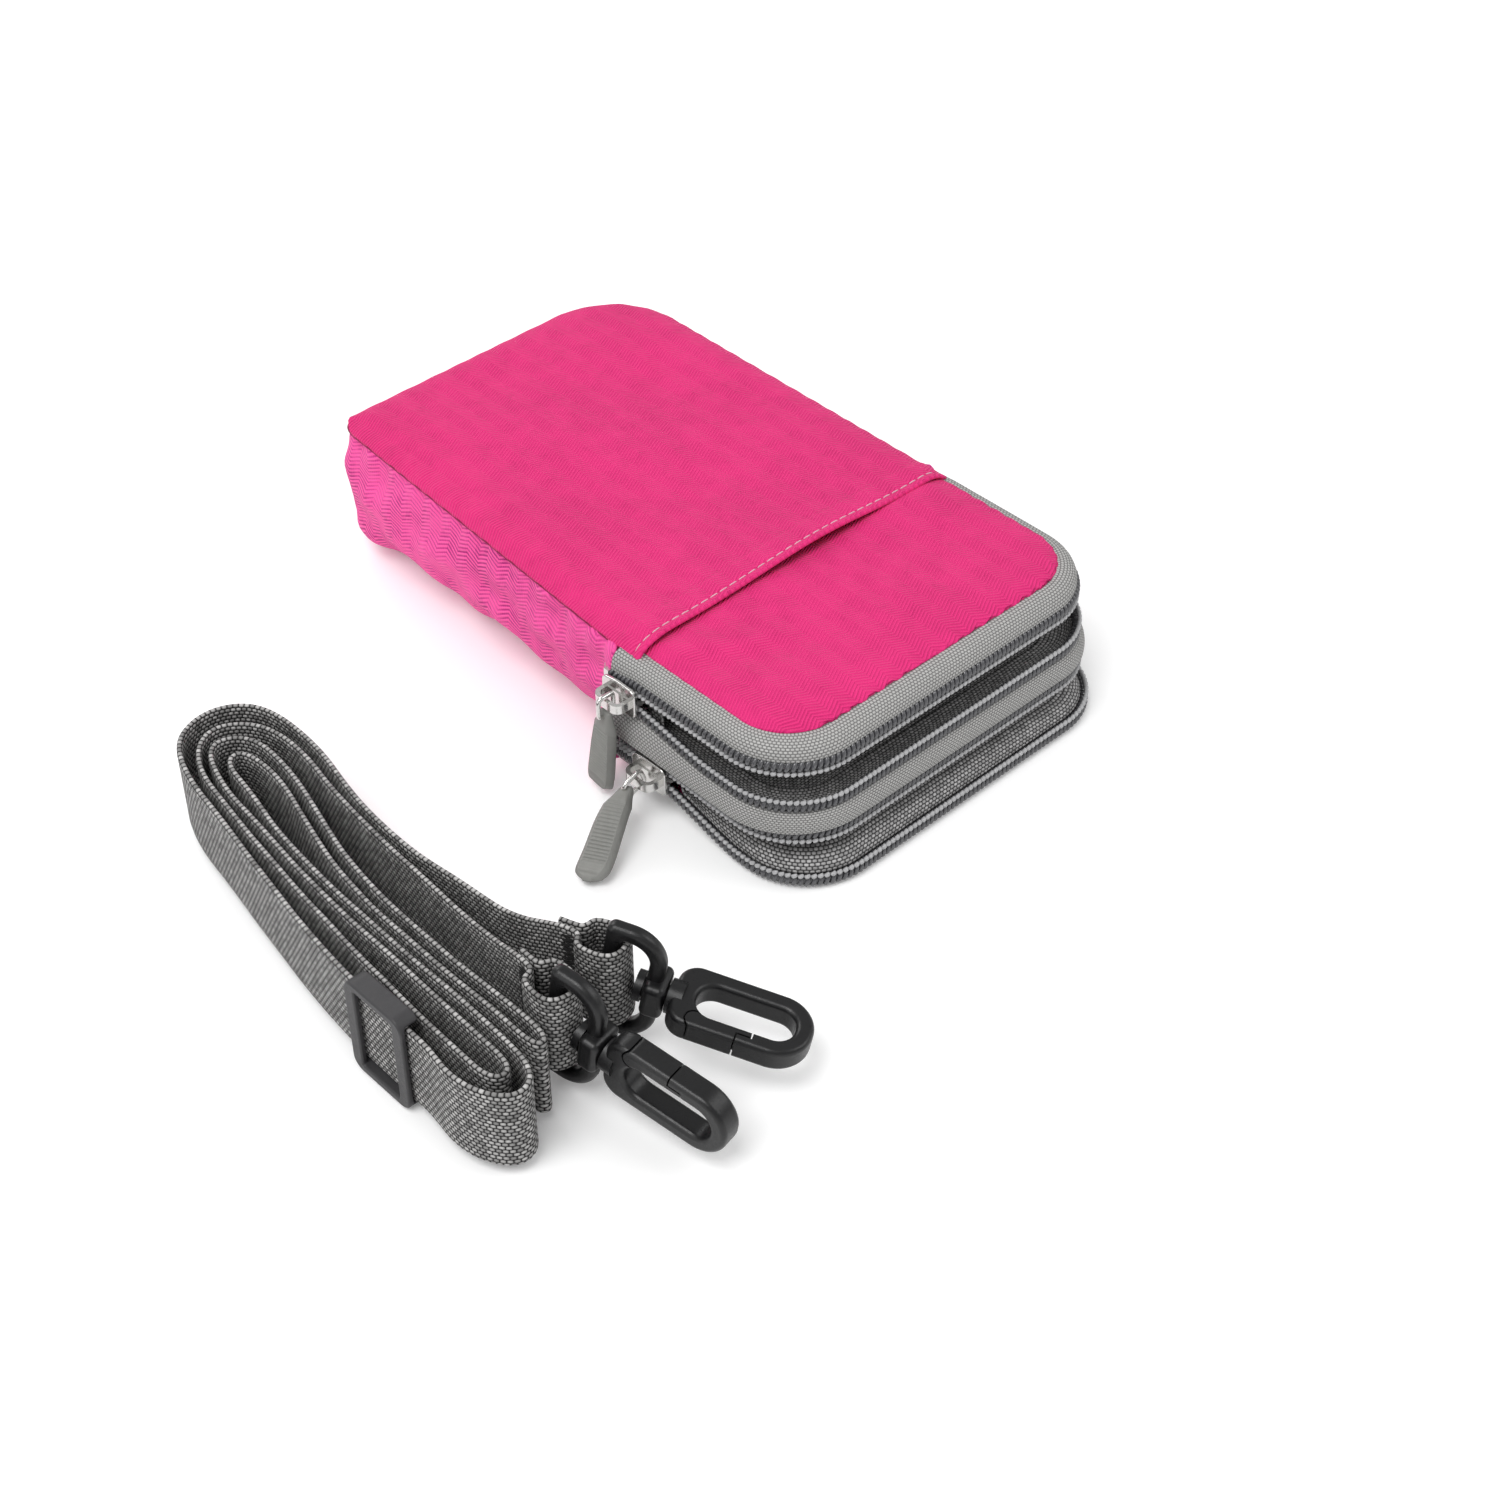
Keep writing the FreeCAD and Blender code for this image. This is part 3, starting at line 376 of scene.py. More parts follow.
def sheet_size(grid):
    """The flat width, length and area of a grid surface, from its own edges and quads."""
    across = np.linalg.norm(np.diff(grid, axis=1), axis=-1).sum(1).max()
    along = np.linalg.norm(np.diff(grid, axis=0), axis=-1).sum(0).max()
    one = np.cross(grid[1:, 1:] - grid[:-1, :-1], grid[1:, :-1] - grid[:-1, 1:])
    return across, along, 0.5 * np.linalg.norm(one, axis=-1).sum()


def dress(piece, body, slot, *nodes):
    """Sets a piece on its body, with its material slot and the plain solids it stands for."""
    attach(piece, body)
    if nodes:
        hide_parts(*nodes)


def sew(name, grid, thickness, finish, slot, *nodes, uv=None, rests_on=None):
    """A cloth piece on the pouch, declared as a sheet where it names what it rests on."""
    piece = closed_sheet(name, grid, thickness, grid[..., :2] if uv is None else uv, finish_named(finish))
    dress(piece, "pouch", slot, *nodes)
    if rests_on:
        across, along, area = sheet_size(grid)
        flat, area = (across * MM, along * MM), min(area, across * along) * MM * MM
    return piece


def tube_rings(path, radius_a, radius_b, axis_a, axis_b, sides):
    """Rings of a tube: path plus a cosine and a sine of two axes, one ring for each path point."""
    turn = np.arange(sides) * TAU / sides
    circle_a = np.cos(turn)[None, :, None] * axis_a[:, None, :] * radius_a
    return path[:, None, :] + circle_a + np.sin(turn)[None, :, None] * axis_b[:, None, :] * radius_b


def tube_faces(count, sides, start=0):
    """The quads of a tube of rings, closed at both ends."""
    low = np.arange(sides // 2 - 1)
    cap = np.stack([low, low + 1, sides - 2 - low, sides - 1 - low], -1)
    wall = grid_faces(count, sides, start, wrap_columns=True)
    return np.concatenate([wall, start + cap[:, ::-1], start + cap + (count - 1) * sides])


def capped_tube(path, rings, start=0):
    """Points and quads of a tube with both ends drawn to a small ring round the path's end."""
    closing = 0.02
    first, last = (path[[end], None] + (rings[[end]] - path[[end], None]) * closing for end in (0, -1))
    whole = np.concatenate([first, rings, last])
    return whole.reshape(-1, 3), tube_faces(*whole.shape[:2], start)


def capsules(name, place, ahead, up, half_length, radius, finish):
    """Many small six-sided capsules: the same rings moved to each place and turned to its directions."""
    stations = np.array([-1.0, -0.85, -0.4, 0.4, 0.85, 1.0])
    swell = np.array([0.15, 0.8, 1.0, 1.0, 0.8, 0.15])
    arch = 0.45 * (1.0 - stations**2)
    sides = len(stations)
    turn = np.arange(sides) * TAU / sides
    x = np.repeat(stations[:, None] * half_length, sides, 1)
    y = swell[:, None] * np.cos(turn)[None, :] * radius
    z = (swell[:, None] * np.sin(turn)[None, :] + arch[:, None]) * radius
    points = place[:, None]
    for reach, axis in zip((x, y, z), (ahead, np.cross(up, ahead), up)):
        points = points + reach.reshape(1, -1, 1) * axis[:, None]
    caps = np.array([[0, 1, 4, 5], [1, 2, 3, 4], [35, 34, 31, 30], [34, 33, 32, 31]])
    each = np.concatenate([grid_faces(sides, sides, 0, wrap_columns=True), caps])
    quads = each[None] + (np.arange(len(place)) * x.size)[:, None, None]
    flat = points.reshape(-1, 3)
    return put_mesh(name, flat, quads, flat[:, :2], finish_named(finish))


def ripples(x, y, seed, shortest, longest, count=7):
    """Soft folds: a sum of sine waves with chosen lengths and directions, about one high."""
    rng = np.random.default_rng(seed)
    heading = rng.uniform(0.0, math.pi, count)
    length = rng.uniform(shortest, longest, count)
    phase = rng.uniform(0.0, TAU, count)
    along = x[..., None] * np.cos(heading) + y[..., None] * np.sin(heading)
    return np.sin(along * TAU / length + phase).sum(-1) / math.sqrt(count)


def fold_heights(x, y, folds, breadth):
    """Single folds: a bell across each fold's heading times a bell along it."""
    total = 0.0
    for start_x, start_y, heading, reach, lift in folds:
        along = (x - start_x) * math.cos(heading) + (y - start_y) * math.sin(heading)
        across = (y - start_y) * math.cos(heading) - (x - start_x) * math.sin(heading)
        total = total + lift * np.exp(-((across / breadth) ** 2)) * np.exp(-((along / reach) ** 2))
    return total


def compass(turn):
    """Directions in plan for angles."""
    return np.stack([np.cos(turn), np.sin(turn)], -1)


def smooth(value):
    """Rises from zero to one with flat ends."""
    value = np.clip(value, 0.0, 1.0)
    return value * value * (3.0 - 2.0 * value)


# Pouch plan


def left_line(y):
    """The straight left seam of the closed part."""
    return LEFT_NEAR_X + (LEFT_FAR_X - LEFT_NEAR_X) * (y - HEM_Y) / (FAR_Y - HEM_Y)


def corner_half(over, radius):
    """Half width of a round corner at a distance past where it starts."""
    return np.sqrt(radius**2 - np.clip(over, 0.0, radius) ** 2)


def body_left(y):
    """Left edge of the closed part: a straight seam, then a small round corner at the far end."""
    return left_line(y) + FAR_LEFT_RADIUS - corner_half(y - (FAR_Y - FAR_LEFT_RADIUS), FAR_LEFT_RADIUS)


def body_right(y):
    """Right edge of the closed part: straight, then a wide round corner at the far end."""
    return RIGHT_X - FAR_RIGHT_RADIUS + corner_half(y - (FAR_Y - FAR_RIGHT_RADIUS), FAR_RIGHT_RADIUS)


def tongue_share(y):
    """How far the plan has turned from the closed part to the mouth tongue."""
    return smooth((ZIP_START_Y + 3.0 - y) / 5.0)


def panel_sides(y, tongue, inset):
    """Left and right edges of a panel from the far end to the round corners of its mouth tongue."""
    half, mouth, radius = tongue
    half = half - radius + corner_half(mouth + radius - y, radius)
    share = tongue_share(y)
    left = (1.0 - share) * (body_left(y) + inset) - share * half
    return left, (1.0 - share) * (body_right(y) - inset) + share * half


def panel_rows(low, high, count, low_round, high_round):
    """Places along the pouch, close together over the round corners at either end."""
    near, far = np.array([low]), high - high_round * (1.0 - np.sin(np.linspace(0.0, QUARTER, 20)))
    if low_round:
        near = low + low_round * (1.0 - np.sin(np.linspace(0.0, QUARTER, 16)[::-1]))
    return np.concatenate([near, np.linspace(near[-1], far[0], count)[1:-1], far])


def panel_grid(rows, left, right, columns):
    """Plan places of a panel: rows from the left edge to the right, closer together at both."""
    share = 0.5 - 0.5 * np.cos(np.linspace(0.0, math.pi, columns))
    x = left[:, None] + (right - left)[:, None] * share[None, :]
    return x, np.repeat(rows[:, None], columns, 1)


def corner_distance(corner_x, corner_y, radius, straight):
    """Distance inside an edge: straight, or from the circle where both offsets lie in the round corner."""
    in_corner = (corner_x > 0.0) & (corner_y > 0.0)
    return np.where(in_corner, radius - np.hypot(corner_x, corner_y), straight)


def edge_distance(x, y):
    """Distance inside the closed part's seam: the least of its left, right, far and corner distances."""
    slope = math.hypot(1.0, (LEFT_FAR_X - LEFT_NEAR_X) / (FAR_Y - HEM_Y))
    corner_x = x - (RIGHT_X - FAR_RIGHT_RADIUS)
    corner_y = y - (FAR_Y - FAR_RIGHT_RADIUS)
    from_corner = corner_distance(corner_x, corner_y, FAR_RIGHT_RADIUS, np.inf)
    least = np.minimum.reduce([(x - left_line(y)) / slope, RIGHT_X - x, FAR_Y - y, from_corner])
    return np.maximum(least, 0.0)


def rim_distance(x, y, tongue):
    """Distance inside a tongue's rim, with its round mouth corners."""
    half, mouth, radius = tongue
    straight = np.minimum(half - np.abs(x), y - mouth)
    corner_x, corner_y = np.abs(x) - (half - radius), (mouth + radius) - y
    return np.maximum(corner_distance(corner_x, corner_y, radius, straight), 0.0)


# Materials


class Shading:
    """Short words for building a node tree."""

    def __init__(self, tree):
        self.tree = tree

    def add(self, kind, inputs=(), **attributes):
        """A node with its attributes set and its named inputs linked or given a value."""
        made = self.tree.nodes.new(kind)
        for key, value in attributes.items():
            setattr(made, key, value)
        for key, value in dict(inputs).items():
            self.join(made.inputs[key], value)
        return made

    def join(self, socket, value):
        """Links an output to a socket, or sets the socket's own value."""
        if isinstance(value, bpy.types.NodeSocket):
            self.tree.links.new(value, socket)
        else:
            socket.default_value = value

    def math(self, operation, *values):
        """The result of one sum."""
        return self.add("ShaderNodeMath", enumerate(values), operation=operation).outputs[0]

    def mix(self, share, first, second):
        """A colour between two colours."""
        given = {0: share}
        for index, value in ((6, first), (7, second)):
            given[index] = value if isinstance(value, bpy.types.NodeSocket) else (*value[:3], 1.0)
        return self.add("ShaderNodeMix", data_type="RGBA", inputs=given).outputs[2]

    def spread(self, value, low, high, start=0.0, end=1.0):
        """A value between start and end carried to a chosen range."""
        given = {"Value": value, "From Min": start, "From Max": end, "To Min": low, "To Max": high}
        return self.add("ShaderNodeMapRange", given).outputs[0]

    def chance(self, column, row):
        """One random value for each cell of a grid."""
        cell = self.add("ShaderNodeCombineXYZ", {0: column, 1: row}).outputs[0]
        return self.add("ShaderNodeTexWhiteNoise", {"Vector": cell}, noise_dimensions="2D").outputs[0]

    def effect(self, name, **inputs):
        """The results of a shared effect, made the first time it is asked for."""
        group = bpy.data.node_groups.get(name) or EFFECTS[name](name)
        made = self.add("ShaderNodeGroup", node_tree=group)
        for key, value in inputs.items():
            self.join(made.inputs[key], value)
        return made.outputs

    def mottle(self, place, scale, contrast):
        """Soft patches between zero and one."""
        return self.effect("mottle", Place=place, Scale=scale, Contrast=contrast)["Value"]

    def cloth_place(self):
        """The place on the cloth, in metres along its threads."""
        return self.add("ShaderNodeUVMap", uv_map="cloth").outputs[0]

    def object_place(self):
        """The place in the part's own frame, in metres."""
        return self.add("ShaderNodeTexCoord").outputs["Object"]

    def camera_ray(self):
        """One where the camera itself looks, else zero."""
        return self.add("ShaderNodeLightPath").outputs["Is Camera Ray"]


def new_group(name, floats, outputs):
    """An empty shader group with a place, float inputs and float outputs."""
    group = bpy.data.node_groups.new(name, "ShaderNodeTree")
    group.interface.new_socket("Place", in_out="INPUT", socket_type="NodeSocketVector")
    for way, sockets in (("INPUT", floats), ("OUTPUT", outputs)):
        for socket in sockets:
            group.interface.new_socket(socket, in_out=way, socket_type="NodeSocketFloat")
    given, result = (group.nodes.new(kind) for kind in ("NodeGroupInput", "NodeGroupOutput"))
    return group, Shading(group), given.outputs, result.inputs


def zigzag_group(name):
    """Zigzag weave: a sine of the length plus a triangle wave of the width, broken into threads."""
    group, s, given, result = new_group(name, ["Pitch", "Run"], ["Height", "Fleck"])
    x, y, _ = s.add("ShaderNodeSeparateXYZ", {0: given["Place"]}).outputs
    pitch = given["Pitch"]
    zig = s.math("PINGPONG", x, given["Run"])
    line = s.math("DIVIDE", s.math("MULTIPLY_ADD", zig, 0.5, y), pitch)
    wave = s.math("SINE", s.math("MULTIPLY", line, TAU))
    across = s.math("SINE", s.math("MULTIPLY", s.math("DIVIDE", x, pitch), TAU * 1.6))
    s.join(result["Height"], s.math("MULTIPLY_ADD", s.math("MULTIPLY_ADD", across, 0.2, wave), 0.41, 0.5))
    column = s.math("FLOOR", s.math("DIVIDE", x, s.math("MULTIPLY", pitch, 1.7)))
    s.join(result["Fleck"], s.chance(column, s.math("FLOOR", line)))
    return group


def bead_group(name):
    """Webbing weave: rows of humped floats, each second row shifted by half, one shade for each float."""
    group, s, given, result = new_group(name, ["Wide", "Long"], ["Height", "Shade"])
    x, y, _ = s.add("ShaderNodeSeparateXYZ", {0: given["Place"]}).outputs
    across = s.math("DIVIDE", y, given["Wide"])
    row = s.math("FLOOR", across)
    shift = s.math("MULTIPLY", s.math("MODULO", s.math("ABSOLUTE", row), 2.0), 0.5)
    along = s.math("ADD", s.math("DIVIDE", x, given["Long"]), shift)
    humps = []
    for value in (across, along):
        swing = s.math("MULTIPLY_ADD", s.math("FRACT", value), 2.0, -1.0)
        humps.append(s.math("SUBTRACT", 1.0, s.math("MULTIPLY", swing, swing)))
    s.join(result["Height"], s.math("POWER", s.math("MULTIPLY", *humps), 0.6))
    s.join(result["Shade"], s.chance(row, s.math("FLOOR", along)))
    return group


def mottle_group(name):
    """Soft patches: two sizes of cloud noise added and spread about a half."""
    group, s, given, result = new_group(name, ["Scale", "Contrast"], ["Value"])
    place, scale = given["Place"], given["Scale"]
    large = s.add("ShaderNodeTexNoise", {"Vector": place, "Scale": scale, "Detail": 2.0}).outputs[0]
    finer = s.math("MULTIPLY", scale, 5.3)
    fine = s.add("ShaderNodeTexNoise", {"Vector": place, "Scale": finer, "Detail": 3.0}).outputs[0]
    both = s.math("MULTIPLY_ADD", fine, 0.5, s.math("MULTIPLY", large, 0.5))
    spread = s.math("MULTIPLY", s.math("SUBTRACT", both, 0.5), given["Contrast"])
    s.join(result["Value"], s.add("ShaderNodeClamp", {"Value": s.math("ADD", spread, 0.5)}).outputs[0])
    return group


EFFECTS = {"zigzag_weave": zigzag_group, "bead_weave": bead_group, "mottle": mottle_group}


def start_material(name, **plain):
    """A material with its shader and the constant sockets set, ready for its pattern."""
    material = bpy.data.materials.new(name)
    material.use_nodes = True
    shader = material.node_tree.nodes["Principled BSDF"]
    for socket, value in plain.items():
        shader.inputs[socket.replace("_", " ")].default_value = value
    return material, Shading(material.node_tree), shader.inputs


def paint(s, shader, colour, roughness, height=None, depth=0.0):
    """Links a material's colour and roughness, and its height pattern where one is given."""
    s.join(shader["Base Color"], colour)
    s.join(shader["Roughness"], roughness)
    if height is not None:
        given = {"Height": height, "Distance": depth, "Strength": 1.0}
        s.join(shader["Normal"], s.add("ShaderNodeBump", given).outputs[0])


def scaled(colour, share):
    """A colour made lighter or darker."""
    return tuple(part * share for part in colour)


def woven_cloth(name, light, deep, pitch, run, depth, fleck, roughness, patches, gloss):
    """Woven cloth: zigzag threads and flecks of the deeper colour, which come and go in soft patches."""
    given = {"Sheen_Weight": 0.06, "Sheen_Roughness": 0.5, "Specular_IOR_Level": gloss}
    material, s, shader = start_material(name, **given)
    place = s.cloth_place()
    weave = s.effect("zigzag_weave", Place=place, Pitch=pitch, Run=run)
    height = weave["Height"]
    patch = s.mottle(place, 32.0, 3.0)
    base = s.mix(s.spread(patch, 0.0, patches), light, deep)
    groove = s.spread(height, fleck, 0.0, 0.12, 0.62)
    dark = s.math("MULTIPLY", s.math("GREATER_THAN", weave["Fleck"], 0.85), fleck * 0.25)
    both = s.math("MULTIPLY", s.math("ADD", groove, dark), s.spread(patch, 0.35, 1.0, 0.25, 0.75))
    rough = s.spread(height, roughness + 0.12, roughness - 0.06)
    paint(s, shader, s.mix(both, base, deep), rough, height, depth)
    return material


def beaded_cloth(name, light, dark, wide, long, even, depth, gloss):
    """Webbing, tape and lining: humped floats in light and dark threads, dark between them."""
    material, s, shader = start_material(name, Specular_IOR_Level=gloss)
    place = s.cloth_place()
    weave = s.effect("bead_weave", Place=place, Wide=wide, Long=long)
    height = weave["Height"]
    patch = s.mottle(place, 120.0, 1.4)
    shade = s.math("MULTIPLY_ADD", weave["Shade"], 0.6, s.math("MULTIPLY", patch, 0.4))
    middle = tuple((1.0 - even) * low + even * high for low, high in zip(dark, light))
    thread = s.mix(shade, middle, light)
    colour = s.mix(s.spread(height, 1.0, 0.0, 0.3, 0.85), thread, dark)
    paint(s, shader, colour, s.spread(height, 0.85, 0.55 - 0.3 * gloss), height, depth)
    return material


def moulded(name, colour, roughness, grain, depth, gloss):
    """A moulded or cast finish: fine grain, uneven roughness and a slight change of tone."""
    material, s, shader = start_material(name, Specular_IOR_Level=gloss)
    place = s.object_place()
    patch = s.mottle(place, grain * 0.05, 1.8)
    fine = s.mottle(place, grain, 2.2)
    pale = tuple(min(1.0, part * 1.5 + 0.004) for part in colour)
    rough = s.spread(fine, roughness - 0.08, roughness + 0.1)
    paint(s, shader, s.mix(s.spread(patch, 0.0, 0.5), colour, pale), rough, fine, depth)
    return material


def nickel(name, colour):
    """Bright nickel with faint casting ripples and rubbed patches."""
    material, s, shader = start_material(name, Metallic=1.0)
    place = s.object_place()
    patch = s.mottle(place, 260.0, 1.8)
    rough = s.spread(s.mottle(place, 900.0, 1.6), 0.14, 0.26)
    paint(s, shader, s.mix(patch, colour, scaled(colour, 0.8)), rough, patch, 0.00001)
    return material


def plain_thread(name, colour):
    """Sewing thread: fine patches of a deeper tone."""
    material, s, shader = start_material(name, Sheen_Weight=0.04, Specular_IOR_Level=0.3)
    fine = s.mottle(s.object_place(), 2400.0, 2.0)
    paint(s, shader, s.mix(fine, colour, scaled(colour, 0.6)), s.spread(fine, 0.55, 0.8))
    return material


# Each finish: its maker, its colours, darkened where a share follows, and its values in the maker's order
FINISHES = {
    "pink_cloth": (woven_cloth, "pink", "pink_deep", 0.00082, 0.0034, 0.00026, 0.5, 0.66, 0.15, 0.16),
    # Side cloth: its paler pink is partly painted light and sheen on the side wall
    "side_cloth": (woven_cloth, "pink_side", "pink_fleck", 0.00098, 0.0037, 0.0002, 1.0, 0.62, 0.04, 0.25),
    "lining_cloth": (beaded_cloth, "lining", ("lining", 0.035), 0.00062, 0.0011, 0.3, 0.0002, 0.6),
    "tape_twill": (beaded_cloth, "tape", ("tape", 0.34), 0.00055, 0.0009, 0.8, 0.00014, 0.2),
    "strap_webbing_cloth": (
        beaded_cloth, "webbing_light", "webbing_dark", 0.00098, 0.00125, 0.16, 0.00035, 0.25
    ),
    "coil_nylon": (moulded, "coil", 0.2, 900.0, 0.00001, 0.9),
    "pull_rubber": (moulded, "rubber", 0.66, 1500.0, 0.00004, 0.35),
    "hook_plastic": (moulded, "plastic", 0.32, 1300.0, 0.00002, 0.45),
    "adjuster_plastic": (moulded, "adjuster", 0.45, 1300.0, 0.00003, 0.4),
    "slider_nickel": (nickel, "metal"),
    "chain_thread": (plain_thread, "chain"),
    "pale_thread": (plain_thread, "thread"),
    # Darkened pink for the tube along the side seam: painted seam shadow, not a thread
    "seam_thread": (plain_thread, ("pink_deep", 0.6)),
    "grey_thread": (plain_thread, "webbing_dark"),
}


def tint(item):
    """A user's colour by its key, or by its key and a share of it."""
    key, share = (item, 1.0) if isinstance(item, str) else item
    return scaled(getattr(bpy.context.scene.pouch_colours, key), share)


def finish_named(name):
    """One of the object's finishes, made the first time it is asked for."""
    made = bpy.data.materials.get(name)
    if made:
        return made
    maker, *given = FINISHES[name]
    return maker(name, *[item if isinstance(item, float) else tint(item) for item in given])


# Cloth surfaces


def pocket_height(x, y, size):
    """Height of the slip pocket: a crown rolled down at the seam, puckers, soft folds, a gaping hem."""
    inside = edge_distance(x, y)
    body = smooth(inside / 14.0)
    height = SEAM_Z - 0.7 + size["crown"] * (1.0 - np.exp(-inside / 2.4))
    height = height + size["wrinkle"] * body * ripples(x, y * 0.8, size["seed"], 26.0, 60.0)
    height = height + body * fold_heights(x, y, POCKET_FOLDS, 5.5)
    pucker = np.sin(y * TAU / 6.4 + 1.3 * np.sin(y / 9.0))
    pucker = pucker + 0.6 * np.sin(x * TAU / 7.9 + 1.1 * np.sin(x / 7.0))
    height = height + 0.22 * pucker * np.exp(-inside / 3.2) * (1.0 - np.exp(-inside / 0.8))
    from_hem = y - HEM_Y
    height = height + size["gape"] * np.exp(-((x / 27.0) ** 2)) * np.exp(-from_hem / 9.0)
    height = height + 0.25 * smooth((7.0 - from_hem) / 0.9)
    return height - 0.28 * np.exp(-(((from_hem - STITCH_INSET) / 0.55) ** 2))


def make_pocket():
    """The slip pocket on the front, with its hem towards the mouth."""
    size = sizes_mm()
    near = HEM_Y + np.array([0.0, 0.4, 0.8, 1.2, 1.6, 2.0, 2.4, 3.0, 3.6, 4.6, 5.6, 6.2, 6.6, 7.0, 7.6])
    rows = np.concatenate([near, panel_rows(near[-1] + 1.0, FAR_Y, 96, 0.0, FAR_RIGHT_RADIUS)])
    x, y = panel_grid(rows, body_left(rows), body_right(rows), 96)
    grid = np.stack([x, y, pocket_height(x, y, size)], -1)
    given = (size["cloth"], "pink_cloth", "pink_fabric", "slip_pocket")
    sew("slip_pocket_cloth", grid, *given, rests_on=["front_panel"])


def flat_panel(name):
    """A flat panel: its plan between the seams and the tongue, at its height with soft waves."""
    tongue, shrink, gap, count, far_round, inset, columns, height, wave, seed, *lengths = PANELS[name]
    tongue = (tongue[0] - shrink, tongue[1] + shrink, tongue[2] - shrink)
    rows = panel_rows(tongue[1], FAR_Y - gap, count, tongue[2], far_round)
    x, y = panel_grid(rows, *panel_sides(rows, tongue, inset), columns)
    return np.stack([x, y, height + wave * ripples(x, y, sizes_mm()["seed"] + seed, *lengths)], -1)


def make_pad(side):
    """The lined padding on the front or the back panel."""
    name = side + "_lining_pad"
    nodes = (side + "_padding", side + "_lining")
    pad = sew(name, flat_panel(name), PAD_THICK[side], "lining_cloth", "lining_fabric", *nodes)


def make_front():
    """The front panel, which shows between the hem and the zip, and the padded lining behind it."""
    size = sizes_mm()
    half, mouth, radius = FRONT_TONGUE
    rows = panel_rows(mouth, FAR_Y, 112, radius, FAR_RIGHT_RADIUS)
    left, right = panel_sides(rows, FRONT_TONGUE, 1.0)
    x, y = panel_grid(rows, left, right + FRONT_RIGHT_REACH * tongue_share(rows), 110)
    drawn_in = np.where(x > 0.0, x * half / (half + FRONT_RIGHT_REACH), x)
    within = rim_distance(drawn_in, y, FRONT_TONGUE)
    mouth_z = FRONT_RIM_Z + 1.7 * (1.0 - np.exp(-within / 3.4))
    mouth_z = mouth_z + 0.35 * ripples(x, y, size["seed"] + 3, 22.0, 48.0) * smooth(within / 10.0)
    mouth_z = mouth_z + smooth(within / 6.0) * fold_heights(x, y, FRONT_FOLDS, 4.0)
    pucker = np.sin((x + y) * TAU / 4.6 + np.sin(x / 6.0))
    pucker = pucker + 0.6 * np.sin((x - y) * TAU / 6.1 + np.sin(y / 5.0))
    mouth_z = mouth_z + 0.16 * pucker * np.exp(-within / 2.6)
    shown = smooth((HEM_Y + 7.0 - y) / 9.0)
    grid = np.stack([x, y, (1.0 - shown) * FRONT_HIDDEN_Z + shown * mouth_z], -1)
    given = (size["cloth"], "pink_cloth", "pink_fabric", "front_panel")
    sew("front_panel_cloth", grid, *given, rests_on=["front_lining_pad"])
    make_pad("front")


def make_back():
    """The back panel with the lined padding on it."""
    given = (sizes_mm()["cloth"], "pink_cloth", "pink_fabric", "back_panel")
    sew("back_panel_cloth", flat_panel("back_panel_cloth"), *given, rests_on=["back_lining_pad"])
    make_pad("back")


def make_divider():
    """The divider between the two compartments, with its tongue at the mouth."""
    given = (DIVIDER_THICK, "lining_cloth", "lining_fabric", "divider")
    sew("divider_cloth", flat_panel("divider_cloth"), *given, rests_on=["side_gusset_cloth"])


def side_path(count):
    """Plan of the seam round the closed part, evenly spaced: place, outward direction, distance along."""
    lean = math.atan2(LEFT_FAR_X - LEFT_NEAR_X, FAR_Y - HEM_Y)
    near_y = ZIP_START_Y - 1.3
    top_y = FAR_Y - FAR_LEFT_RADIUS
    bend = np.linspace(math.pi - lean, QUARTER, 60)
    wide = np.linspace(QUARTER, 0.0, 60)
    small = np.array([left_line(top_y) + FAR_LEFT_RADIUS, top_y]) + FAR_LEFT_RADIUS * compass(bend)
    large = np.array([RIGHT_X, FAR_Y]) - FAR_RIGHT_RADIUS + FAR_RIGHT_RADIUS * compass(wide)
    line = np.concatenate([[[left_line(near_y), near_y]], small, large, [[RIGHT_X, near_y]]])
    run = run_along(line)
    even = np.linspace(0.0, run[-1], count)
    turn = np.interp(even, run, np.concatenate([[math.pi - lean], bend, wide, [0.0]]))
    return at_run(even, run, line), compass(turn), even


